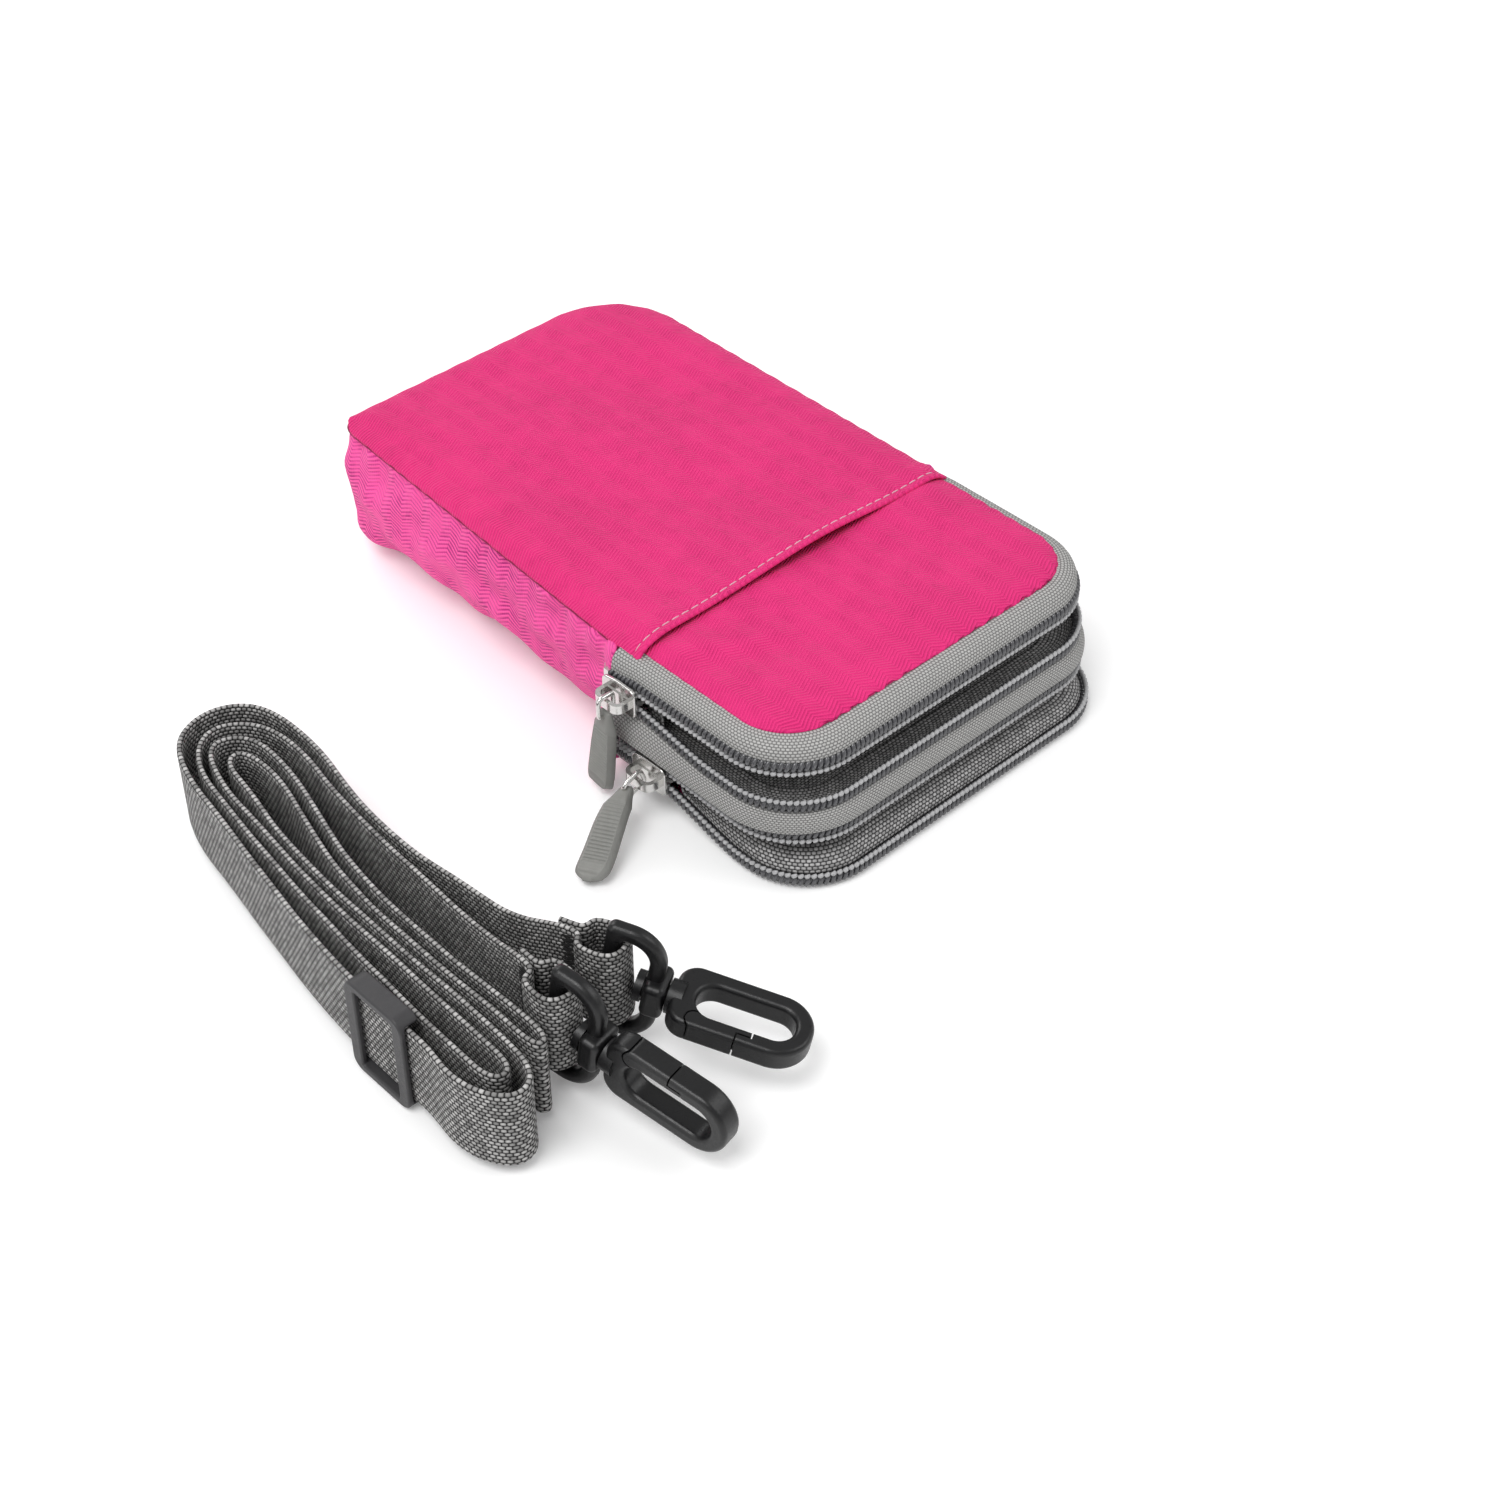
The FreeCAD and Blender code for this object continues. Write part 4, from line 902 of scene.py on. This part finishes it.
def gusset_grid(columns, inset, bulge, wrinkle, seed, flare):
    """The side wall: upright below the seam, then a quarter round and a flat strip to the back.

    It swells below a tucked seam, with fading creases and soft folds. The round tightens at the far left corner
    and at both ends, where the wall flares out to the zip tapes.
    """
    place, out, run = side_path(columns)
    end = np.minimum(run, run[-1] - run)
    turn = run - run[np.argmin(np.hypot(place[:, 0] - LEFT_FAR_X, place[:, 1] - FAR_Y))]
    tight = np.maximum(smooth((14.0 - end) / 14.0), 0.9 * np.exp(-((turn / 18.0) ** 2)))
    corner = BACK_RADIUS + (4.0 - BACK_RADIUS) * tight
    radius = corner - inset
    top_z = SEAM_Z - 0.75
    fall = top_z - BACK_Z - corner
    near = np.repeat(np.linspace(0.0, 2.4, 7)[:, None], columns, 1)
    drop = np.concatenate([near, 2.4 + (fall - 2.4) * np.linspace(0.0, 1.0, 21)[1:, None]])
    arc = np.linspace(0.0, QUARTER, 16)[1:, None]
    strip = np.linspace(0.0, 1.0, 7)[1:, None] * (BACK_RADIUS + 1.0 - corner)
    round_z, round_in = BACK_Z + corner - radius * np.sin(arc), inset + radius * (1.0 - np.cos(arc))
    z = np.concatenate([top_z - drop, round_z, np.full(strip.shape, BACK_Z + inset)])
    inward = np.concatenate([np.full(drop.shape, inset), round_in, corner + strip])
    below = top_z - z
    swell = bulge * np.sin(math.pi * np.clip(below / 24.0, 0.0, 1.0)) - 1.0 * np.exp(-below / 1.1)
    fuller = 2.0 * np.clip(-out[:, 0], 0.0, 1.0) * np.exp(-(((place[:, 1] - 60.0) / 26.0) ** 2))
    flaring = flare * np.exp(-end / 3.0) * (1.0 + 0.5 * smooth((below - 12.0) / 10.0))
    reach = swell - inward + fuller * smooth((below - 3.0) / 12.0) + flaring
    grid = np.concatenate([place[None] + out[None] * reach[..., None], z[..., None]], -1)
    along = np.repeat(run[None, :], len(z), 0)
    steps = np.hypot(np.diff(z, axis=0), np.diff(inward, axis=0))
    down = np.concatenate([np.zeros((1, columns)), np.cumsum(steps, 0)])
    fade = smooth(down / 1.6) * smooth((down[-1] - down) / 8.0)
    crease = np.sin(along * TAU / 8.6 + 1.7 * np.sin(along / 11.0)) * np.exp(-down / 6.0)
    slant = np.sin((along * 0.55 - down * 1.2) * TAU / 15.0 + 1.2 * np.sin(along / 17.0))
    slant = slant * np.exp(-((down - 14.0) / 9.0) ** 2)
    folds = ripples(along, down * 1.4, seed, 11.0, 34.0)
    move = wrinkle * fade * (0.75 * crease + 0.6 * slant + 0.55 * folds)
    return grid - surface_normals(grid) * move[..., None], np.stack([along, down], -1)


def make_gusset():
    """The pink side wall, its end stitches and seam thread, and the lining inside it."""
    size = sizes_mm()
    grid, uv = gusset_grid(260, 0.55, size["bulge"], size["wrinkle"] * 1.5, size["seed"] + 1, 2.9)
    # The side cloth's paler pink is partly painted light and sheen
    given = (size["cloth"], "side_cloth", "pink_fabric", "side_gusset")
    sew("side_gusset_cloth", grid, *given, uv=uv, rests_on=["front_panel_cloth", "back_panel_cloth"])
    sewn = (slice(8, 26), 2)
    normals = -surface_normals(grid)[sewn]
    stitch_row("gusset_end_stitches", grid[sewn] + normals * (size["cloth"] / 2.0 + 0.05), normals, 0.25)
    # A dark pink tube along the seam, standing in for the seam's shadow: painted shade, not a thread
    place, out, run = side_path(420)
    wander = 0.6 * np.sin(run * TAU / 5.3 + np.sin(run / 7.0)) + 0.4 * np.sin(run * TAU / 11.7)
    seam = np.column_stack([place + out * (0.1 + 0.2 * wander[:, None]), SEAM_Z - 1.15 + 0.3 * wander])
    rings = tube_rings(seam, 0.34, 0.3, level(out, 0.0), repeated(UP, len(seam)), 8)
    points, quads = capped_tube(seam, rings)
    thread = put_mesh("side_seam_thread", points, quads, points[:, :2], finish_named("seam_thread"))
    dress(thread, "pouch", "thread")
    grid, uv = gusset_grid(160, 1.7, size["bulge"] * 0.6, 0.12, size["seed"] + 2, 2.2)
    given = (size["lining"], "lining_cloth", "lining_fabric", "gusset_lining")
    sew("gusset_lining_cloth", grid, *given, uv=uv, rests_on=["side_gusset_cloth"])


def make_back_loops():
    """The belt loop and the two strap loops: low in the middle, raised to the back at both feet."""
    for name, (centre, half_across, half_along, foot, along_x, finish, slot) in BACK_LOOPS.items():
        half_along = half_along - BACK_LOOP_TUCK
        along, across = np.linspace(-half_along, half_along, 60), np.linspace(-half_across, half_across, 24)
        height = 0.78 + 0.95 * smooth((np.abs(along) - (half_along - foot - 2.0)) / 2.5)
        a, c = np.meshgrid(along, across, indexing="ij")
        x, y = (a, c) if along_x else (c, a)
        z = np.repeat(height[:, None], len(across), 1)
        grid = np.stack([centre[0] + x, centre[1] + y, z], -1)
        sew(name + "_band", grid, BACK_LOOP_THICK, finish, slot, name, rests_on=["back_panel_cloth"])


# Zips


def mouth_line(side, mouth_y, radius, straight, corner, across):
    """Places and outward directions round the mouth: straight, a quarter circle, across, and mirrored."""
    low = mouth_y + radius
    bend = compass(np.linspace(math.pi, 1.5 * math.pi, corner))
    down_y = np.linspace(ZIP_START_Y - ZIP_END_GAP, low, straight)[:-1]
    down = np.column_stack([np.full(straight - 1, -side), down_y])
    place = np.concatenate([down, np.array([-side + radius, low]) + radius * bend])
    out = np.concatenate([repeated((-1.0, 0.0), straight - 1), bend])
    middle_x = np.linspace(-side + radius, side - radius, across)[1:-1]
    middle = np.column_stack([middle_x, np.full(across - 2, mouth_y)])
    mirror = np.array([-1.0, 1.0])
    place = np.concatenate([place, middle, place[::-1] * mirror])
    return place, np.concatenate([out, repeated((0.0, -1.0), across - 2), out[::-1] * mirror])


def tape_side(name):
    """Plus one where a zip half's tape lies above its coil, minus one where it lies below."""
    _, zip_z, open_z, *_ = ZIPS[name]
    return 1.0 if open_z > zip_z else -1.0


def coil_line(name, straight, corner):
    """A coil's line and its outward directions: closed behind the slider, then eased to its open height."""
    slider_y, zip_z, open_z, mouth_y, _ = ZIPS[name]
    plan, out = mouth_line(ZIP_HALF_WIDTH, mouth_y, ZIP_RADIUS, straight, corner, straight)
    y = plan[:, 1]
    closed_y = slider_y + SLIDER_LENGTH * CLOSED_SHARE
    nose_y = slider_y - SLIDER_LENGTH / 2.0 + SLIDER_POST
    inside = np.clip((closed_y - y) / (closed_y - nose_y), 0.0, 1.0)
    open_share = np.clip((nose_y - y) / OPEN_RUN, 0.0, 1.0)
    open_share = 0.5 * open_share + 0.5 * smooth(open_share)
    near = zip_z + tape_side(name) * (CLOSED_OFFSET + (NOSE_OFFSET - CLOSED_OFFSET) * inside)
    return np.column_stack([plan, near + (open_z - zip_z - tape_side(name) * NOSE_OFFSET) * open_share]), out


def arched(first, middle, last, count=14):
    """A strip between three lines: (1-t)^2 of the first, 2t(1-t) of the middle one and t^2 of the last."""
    t = np.linspace(0.0, 1.0, count)[None, :, None]
    return (1.0 - t) ** 2 * first[:, None] + 2.0 * t * (1.0 - t) * middle[:, None] + t**2 * last[:, None]


def zip_lines(name):
    """A zip half's rim and coil in plan, each with its outward direction, and the coil's height."""
    half, rim_y, rim_radius = ZIPS[name][4]
    line, out = coil_line(name, 60, 40)
    rim, rim_out = mouth_line(half, rim_y, rim_radius, 60, 40, 60)
    if name == "front":
        rim[:, 0] *= np.where(rim[:, 0] > 0.0, 1.0 + FRONT_RIGHT_REACH / half, 1.0)
    return rim, rim_out, line[:, :2], out, line[:, 2]


def level(plan, height):
    """Plan places at one height or at their own heights."""
    return np.column_stack([plan, np.broadcast_to(height, (len(plan),))])


def tape_grid(name):
    """A zip tape: a rolled strip from its panel's edge to its coil; the divider's two overlap."""
    rim, rim_out, coil, out, height = zip_lines(name)
    start = TAPE_STARTS[name]
    sewn = np.maximum(height + tape_side(name) * (COIL_HEIGHT / 2.0 + 0.1), TAPE_LOWEST)
    if name == "front":
        first = rim - rim_out * 0.8
        middle = level(rim + (coil - rim) * 0.75 + out * 1.3, FRONT_TAPE_CREST)
    elif name == "back":
        first, middle = rim - rim_out, level((rim + coil) / 2.0, BACK_TAPE_CREST)
    elif name == "divider_upper":
        first, middle = coil + out * 1.9, level(coil + out * 2.3, 0.4 * start + 0.6 * sewn)
    else:
        first, middle = coil, level(coil + out * 0.7, 0.5 * (start + sewn))
    return arched(level(first, start), middle, level(coil, sewn))


def lip_grid(name):
    """The lining's edge: a strip from the wall to the inner side of its coil, drawn back at the slider."""
    rim, rim_out, coil, out, height = zip_lines(name)
    start, crest, rise, inset, room, reach = LIPS[name]
    draw = 0.9 + room * smooth((coil[:, 1] - (ZIPS[name][0] - reach)) / 4.0)
    last = level(coil - out * draw[:, None], height + rise)
    return arched(level(rim - rim_out * inset, start), level(rim + (coil - rim) * 0.55, crest), last)


def strip_uv(grid):
    """Texture places along and across a strip, from its own lengths."""
    along, across = run_along(grid.mean(1)), run_along(grid.mean(0))
    across = np.linspace(0.0, max(across[-1], 6.0), grid.shape[1])
    return np.stack(np.meshgrid(along, across, indexing="ij"), -1)


def make_tapes():
    """The four zip tapes, and the lining's edge beside each."""
    size = sizes_mm()
    for name in ZIPS:
        grid = tape_grid(name)
        given = (size["tape"], "tape_twill", "grey_tape", name + "_tape")
        sew(name + "_tape_twill", grid, *given, uv=strip_uv(grid))
        grid = lip_grid(name)
        sew(name + "_lining_lip", grid, size["lining"], "lining_cloth", "lining_fabric", uv=strip_uv(grid))


def coil_points(name, step):
    """A coil's middle line at even steps, with the outward direction and the distance at each place."""
    line, out = coil_line(name, 120, 80)
    run = run_along(line)
    even = np.arange(0.0, run[-1], step)
    return at_run(even, run, line), unit(level(at_run(even, run, out), 0.0)), even


def make_coils():
    """The four zip coils: a flat helix of monofilament round a cord, and a chain of thread beside it."""
    size = sizes_mm()
    wire, pitch = size["coil_wire"], size["coil_pitch"]
    wide, tall = COIL_REACH - wire, COIL_REACH - wire * 0.5
    for name in ZIPS:
        side = tape_side(name)
        line, out, _ = coil_points(name, pitch)
        slant = unit(unit(np.gradient(line, axis=0)) * 0.85 + UP * 0.4)
        place = line + out * 0.5 - UP * COIL_REACH * side
        chain = capsules(name + "_coil_chain", place, slant, out, 0.66, 0.5, "chain_thread")
        dress(chain, "pouch", "zip_coil")
        line, out, run = coil_points(name, pitch / COIL_STEPS)
        line = line + UP * 0.5 * side
        phase = (run * TAU / pitch)[:, None]
        swing = out * np.cos(phase) * wide + UP * np.sin(phase) * tall
        helix = line + swing
        ahead = unit(np.gradient(helix, axis=0))
        radial = unit(swing - ahead * (swing * ahead).sum(-1, keepdims=True))
        points, quads = capped_tube(helix, tube_rings(helix, wire, wire, radial, np.cross(ahead, radial), 6))
        cord, aside = line[:: COIL_STEPS // 2], out[:: COIL_STEPS // 2]
        rings = tube_rings(cord, 0.5, 0.95, aside, repeated(UP, len(cord)), 8)
        cord_points, cord_quads = capped_tube(cord, rings, len(points))
        whole = np.concatenate([points, cord_points])
        quads = np.concatenate([quads, cord_quads])
        piece = put_mesh(name + "_coil_nylon", whole, quads, whole[:, :2], finish_named("coil_nylon"))
        dress(piece, "pouch", "zip_coil", name + "_coil")


# Stitches


def stitch_row(name, line, normals, gap):
    """Pale stitches on the pouch along a line: short capsules, end to end with a gap between them."""
    size = sizes_mm()
    length = size["stitch"]
    run = run_along(line)
    middles = np.arange(length / 2.0, run[-1] - length / 2.0 + 0.01, length * (1.0 + gap))
    ahead = unit(at_run(middles + 0.3, run, line) - at_run(middles - 0.3, run, line))
    up = unit(at_run(middles, run, normals))
    given = (at_run(middles, run, line), ahead, up, length / 2.0, size["thread"])
    dress(capsules(name, *given, "pale_thread"), "pouch", "thread")


def make_stitches():
    """The pale topstitching along the pocket's hem."""
    size = sizes_mm()
    x = np.linspace(body_left(np.array([HEM_Y]))[0] + 0.6, RIGHT_X - 0.6, 400)
    y = np.full(len(x), HEM_Y + STITCH_INSET)
    z = pocket_height(x, y, size) + size["cloth"] / 2.0 + 0.04
    stitch_row("hem_topstitches", np.stack([x, y, z], -1), repeated(UP, len(x)), 0.28)


# Strap


def smooth_line(points, per_run):
    """A quadratic spline: on each run three neighbours weigh half (1-t)^2, 1/2 + t - t^2 and half t^2."""
    control = np.concatenate([2.0 * points[:1] - points[1:2], points, 2.0 * points[-1:] - points[-2:-1]])
    t = np.linspace(0.0, 1.0, per_run, endpoint=False)[None, :, None]
    first, second, third = control[:-2, None], control[1:-1, None], control[2:, None]
    curve = 0.5 * (1.0 - t) ** 2 * first + (0.5 + t - t * t) * second + 0.5 * t * t * third
    return curve.reshape(-1, 3)


def end_loop(anchor, target, thickness):
    """Control points of a sewn end loop, from its tail round to the strap, its place and directions."""
    anchor, target = np.array(anchor), np.array(target)
    ahead = (target - anchor) / np.linalg.norm(target - anchor)
    aside = np.array([-ahead[1], ahead[0]])
    lap = thickness / 2.0 + 0.06
    middle = LOOP_NECK + LOOP_RADIUS - 0.7
    low, high = middle - LOOP_RADIUS, middle + LOOP_RADIUS
    places = [
        (0.3, lap), (2.5, lap), (4.8, lap + 0.25), (low, LOOP_RADIUS), (high, LOOP_RADIUS),
        (high, -LOOP_RADIUS), (low, -LOOP_RADIUS), (4.8, -lap - 0.25), (2.5, -lap), (0.0, -lap),
    ]
    plan = np.array([target + ahead * a + aside * s for a, s in places])
    return level(plan, LOOP_LIFT), (target, ahead, aside)


def make_strap():
    """The strap: a flat band on its edge along the folded route, a sewn loop at each end, its bar tacks."""
    size = sizes_mm()
    thick, width = size["webbing"], size["webbing_width"]
    near, near_end = end_loop(STRAP_ROUTE[0], NEAR_LOOP, thick)
    far, far_end = end_loop(STRAP_ROUTE[-1], FAR_LOOP, thick)
    route = level(np.array(STRAP_ROUTE), HANK_LIFT)
    route[0, 2] = route[-1, 2] = HANK_LIFT + 0.6
    line = smooth_line(np.concatenate([near, route, far[::-1]]), 12)
    ahead = np.gradient(line[:, :2], axis=0)
    aside = unit(np.stack([-ahead[:, 1], ahead[:, 0]], -1))
    run = run_along(line)
    rise = np.array([0.0, 0.35, 1.2, 5.0, 10.0, 15.0, 18.8, 19.65, 20.0]) * width / 20.0
    swell = np.array([0.45, 0.85, 1.0, 0.96, 0.96, 0.96, 1.0, 0.85, 0.45]) * (thick / 2.0)
    reach = np.concatenate([-swell, swell[::-1]])
    height = np.concatenate([rise, rise[::-1]])
    wave = 0.1 * np.sin(run * TAU / 23.0 + np.sin(run / 31.0))
    beside = line[:, :2] - np.array(ADJUSTER_PLACE)
    line[:, 0] += 0.3 * np.exp(-(((beside[:, 1] + 13.0) / 5.0) ** 2)) * (np.abs(beside[:, 0]) < 1.6)
    points = np.empty((len(line), len(reach), 3))
    points[..., :2] = line[:, None, :2] + aside[:, None, :] * reach[None, :, None]
    points[..., 2] = line[:, 2:3] + height[None, :] + wave[:, None]
    uv = np.stack(np.meshgrid(run, height, indexing="ij"), -1)
    quads = tube_faces(len(line), len(reach))
    strap = put_mesh("strap_band", points, quads, uv, finish_named("strap_webbing_cloth"))
    dress(strap, "strap", "webbing", "strap_webbing")
    tacks = make_tacks((near_end, far_end), thick, width, size["thread"])


def make_tacks(ends, thick, width, thread):
    """Bar tacks: short threads laid close together across the doubled webbing, on both its faces."""
    height = np.arange(LOOP_LIFT + 1.5, LOOP_LIFT + width - 1.5, 0.62)
    lean = np.where(np.arange(len(height)) % 2, 0.16, -0.16)
    place, heading, facing = [], [], []
    for target, ahead, aside in ends:
        for face in (1.0, -1.0):
            plan = target + ahead * 2.4 + aside * face * (thick + 0.12)
            place.append(level(repeated(plan, len(height)), height))
            heading.append(level(repeated(ahead, len(height)), lean))
            facing.append(repeated(np.append(aside * face, 0.0), len(height)))
    place, heading, facing = (np.concatenate(rows) for rows in (place, heading, facing))
    tacks = capsules("strap_bar_tacks", place, unit(heading), facing, 1.5, thread * 1.2, "grey_thread")
    dress(tacks, "strap", "thread", "bar_tacks")
    return tacks


# Pulls


def pull_shape():
    """Places along and across a pull and its thickness: round-ended, thin-edged, ribs inside a rim."""
    tip_y = PULL_TIP - PULL_ROUND
    tip = tip_y + PULL_ROUND * np.sin(np.linspace(0.0, QUARTER, 18)[1:])
    along = np.concatenate([np.linspace(PULL_HEAD, tip_y, 240), tip])
    half = np.interp(along, [PULL_HEAD, -0.4, 1.6, 4.0, 9.0, 17.0], [1.0, 1.3, 1.7, 2.4, 2.8, 3.1])
    over = np.clip((along - tip_y) / PULL_ROUND, 0.0, 1.0)
    half = np.maximum(half * (1.0 - over**2.4) ** (1.0 / 2.4), 0.9)
    across = half[:, None] * np.sin(np.linspace(-QUARTER, QUARTER, 36))[None, :]
    along = np.repeat(along[:, None], across.shape[1], 1)
    from_side = half[:, None] - np.abs(across)
    edge = np.minimum(from_side, np.minimum(PULL_TIP - along, along - PULL_HEAD))
    taper = np.interp(along, [PULL_HEAD, 0.5, 4.0, PULL_TIP - 1.6, PULL_TIP], [0.45, 0.65, 1.0, 1.0, 0.4])
    thick = PULL_THICK * (1.0 - 0.35 * np.exp(-edge / 0.22)) * taper
    panel = np.minimum(from_side, np.minimum(PULL_TIP - 0.5 - along, along - 3.0))
    ribs = 0.5 - 0.5 * np.cos(along * TAU / RIB_PITCH)
    return along, across, thick - smooth((panel - 0.2) / 0.25) * (0.1 + 0.6 * ribs)


def make_pulls():
    """The two rubber pulls that hang on the sliders' links."""
    along, across, thick = pull_shape()
    uv = np.stack([along, across], -1)
    for name, (place, swing, turn, bend) in PULLS.items():
        swing, turn = math.radians(swing), math.radians(turn)
        link = np.array([-math.sin(swing), 0.0, -math.cos(swing)])
        bar = np.array([-math.cos(swing), 0.0, math.sin(swing)])
        heading = link * math.cos(turn) + np.array([0.0, -1.0, 0.0]) * math.sin(turn)
        aside = np.cross(bar, heading)
        facing = np.cross(heading, aside)
        sway = bend * np.sin(np.clip(along, 0.0, None) * TAU / 24.0)
        eye = np.array(place) + link * LINK_DROP
        grid = eye + along[..., None] * heading + across[..., None] * aside + sway[..., None] * facing
        piece = closed_sheet(name + "_pull_rubber", grid, thick, uv, finish_named("pull_rubber"))
        dress(piece, name + "_pull", "grey_rubber", name + "_pull")


def make_hardware():
    """Gives the sliders, links, stops, adjuster and hooks their finishes."""
    for finish, names in HARDWARE.items():
        for name in names:
            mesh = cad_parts[name].data
            mesh.materials.clear()
            mesh.materials.append(finish_named(finish))


# Stage


def look(back):
    """A turn that points a camera or lamp away from a direction, with its top up."""
    back = Vector(back).normalized()
    right = Vector(UP).cross(back).normalized()
    return Matrix((right, back.cross(right), back)).transposed().to_euler()


def place_view(name, data, place, back):
    """A lamp or camera at its place, turned away from a direction."""
    made = bpy.data.objects.new(name, data)
    made.location = place
    made.rotation_euler = look(back)
    bpy.context.scene.collection.objects.link(made)
    return made


def floor_finish():
    """A pale floor that glows a little where the camera sees it and shows nothing from below."""
    given = {"Roughness": 0.9, "Specular_IOR_Level": 0.1, "Emission_Strength": 1.0}
    material, s, shader = start_material("pale_floor", **given)
    patch = s.mottle(s.object_place(), 6.0, 0.2)
    s.join(shader["Base Color"], s.mix(patch, tint("floor"), tint(("floor", 0.985))))
    s.join(shader["Alpha"], s.math("SUBTRACT", 1.0, s.add("ShaderNodeNewGeometry").outputs["Backfacing"]))
    s.join(shader["Emission Color"], s.mix(s.camera_ray(), (0.0, 0.0, 0.0), (FLOOR_GLOW,) * 3))
    return material


def make_stage():
    """A pale floor, soft light from above and both sides, and the camera."""
    scene = bpy.context.scene
    scene.view_settings.view_transform = "Standard"
    square = np.array([[-1.0, -1.0], [1.0, -1.0], [1.0, 1.0], [-1.0, 1.0]])
    corners = level(square * FLOOR_SIDE, FLOOR_Z)
    put_mesh("floor", corners, [[0, 1, 2, 3]], corners[:, :2], floor_finish())
    scene.world = bpy.data.worlds.new("studio")
    scene.world.use_nodes = True
    s = Shading(scene.world.node_tree)
    background = scene.world.node_tree.nodes["Background"]
    background.inputs["Color"].default_value = (1.0, 1.0, 1.0, 1.0)
    s.join(background.inputs["Strength"], s.spread(s.camera_ray(), WORLD_LIGHT, WORLD_SEEN))
    for name, (place, size, power) in LAMPS.items():
        light = bpy.data.lights.new(name, "AREA")
        light.shape = "DISK"
        light.size = size
        light.energy = power
        place_view(name, light, place, Vector(place) - Vector(LAMP_TARGET))
    camera = bpy.data.cameras.new("camera")
    camera.lens = CAMERA_LENS
    camera.sensor_width = 36.0
    camera.clip_start = 0.01
    scene.camera = place_view("camera", camera, CAMERA_PLACE, CAMERA_BACK)


# Operators, one for each piece or group of like pieces


def piece_operator(title, maker):
    """An operator class that runs one maker, with the maker's name and words."""
    name = maker.__name__.removeprefix("make_")

    def execute(self, context):
        maker()
        return {"FINISHED"}

    members = {"bl_idname": "pouch." + name, "bl_label": title, "__doc__": maker.__doc__, "execute": execute}
    return type("POUCH_OT_" + name, (bpy.types.Operator,), members)


MAKERS = {
    "Stage": make_stage,
    "Strap": make_strap,
    "Slip pocket": make_pocket,
    "Front": make_front,
    "Side": make_gusset,
    "Back": make_back,
    "Divider": make_divider,
    "Back loops": make_back_loops,
    "Zip tapes": make_tapes,
    "Zip coils": make_coils,
    "Stitches": make_stitches,
    "Pulls": make_pulls,
    "Hardware": make_hardware,
}
OPERATORS = tuple(piece_operator(*item) for item in MAKERS.items())


class POUCH_PT_sidebar(bpy.types.Panel):
    """The pouch's sizes, colours and pieces."""

    bl_idname = "POUCH_PT_sidebar"
    bl_label = "Pouch"
    bl_space_type = "VIEW_3D"
    bl_region_type = "UI"
    bl_category = "Pouch"

    def draw(self, context):
        scene = context.scene
        for group, keys in ((scene.pouch_sizes, (*SIZES, "seed")), (scene.pouch_colours, COLOURS)):
            column = self.layout.column()
            for key in keys:
                column.prop(group, key)
        for operator in OPERATORS:
            self.layout.operator(operator.bl_idname)


CLASSES = (PouchSizes, PouchColours, *OPERATORS, POUCH_PT_sidebar)


def register():
    """Registers the classes and hangs the settings on the scene."""
    for each in CLASSES:
        bpy.utils.register_class(each)
    bpy.types.Scene.pouch_sizes = PointerProperty(type=PouchSizes)
    bpy.types.Scene.pouch_colours = PointerProperty(type=PouchColours)


def unregister():
    """Takes the settings and the classes away again."""
    del bpy.types.Scene.pouch_sizes
    del bpy.types.Scene.pouch_colours
    for each in reversed(CLASSES):
        bpy.utils.unregister_class(each)


def main():
    """Makes every piece in order and writes the two boxes."""
    register()
    for operator in OPERATORS:
        getattr(bpy.ops.pouch, operator.bl_idname.split(".")[1])()


if __name__ == "__main__":
    main()
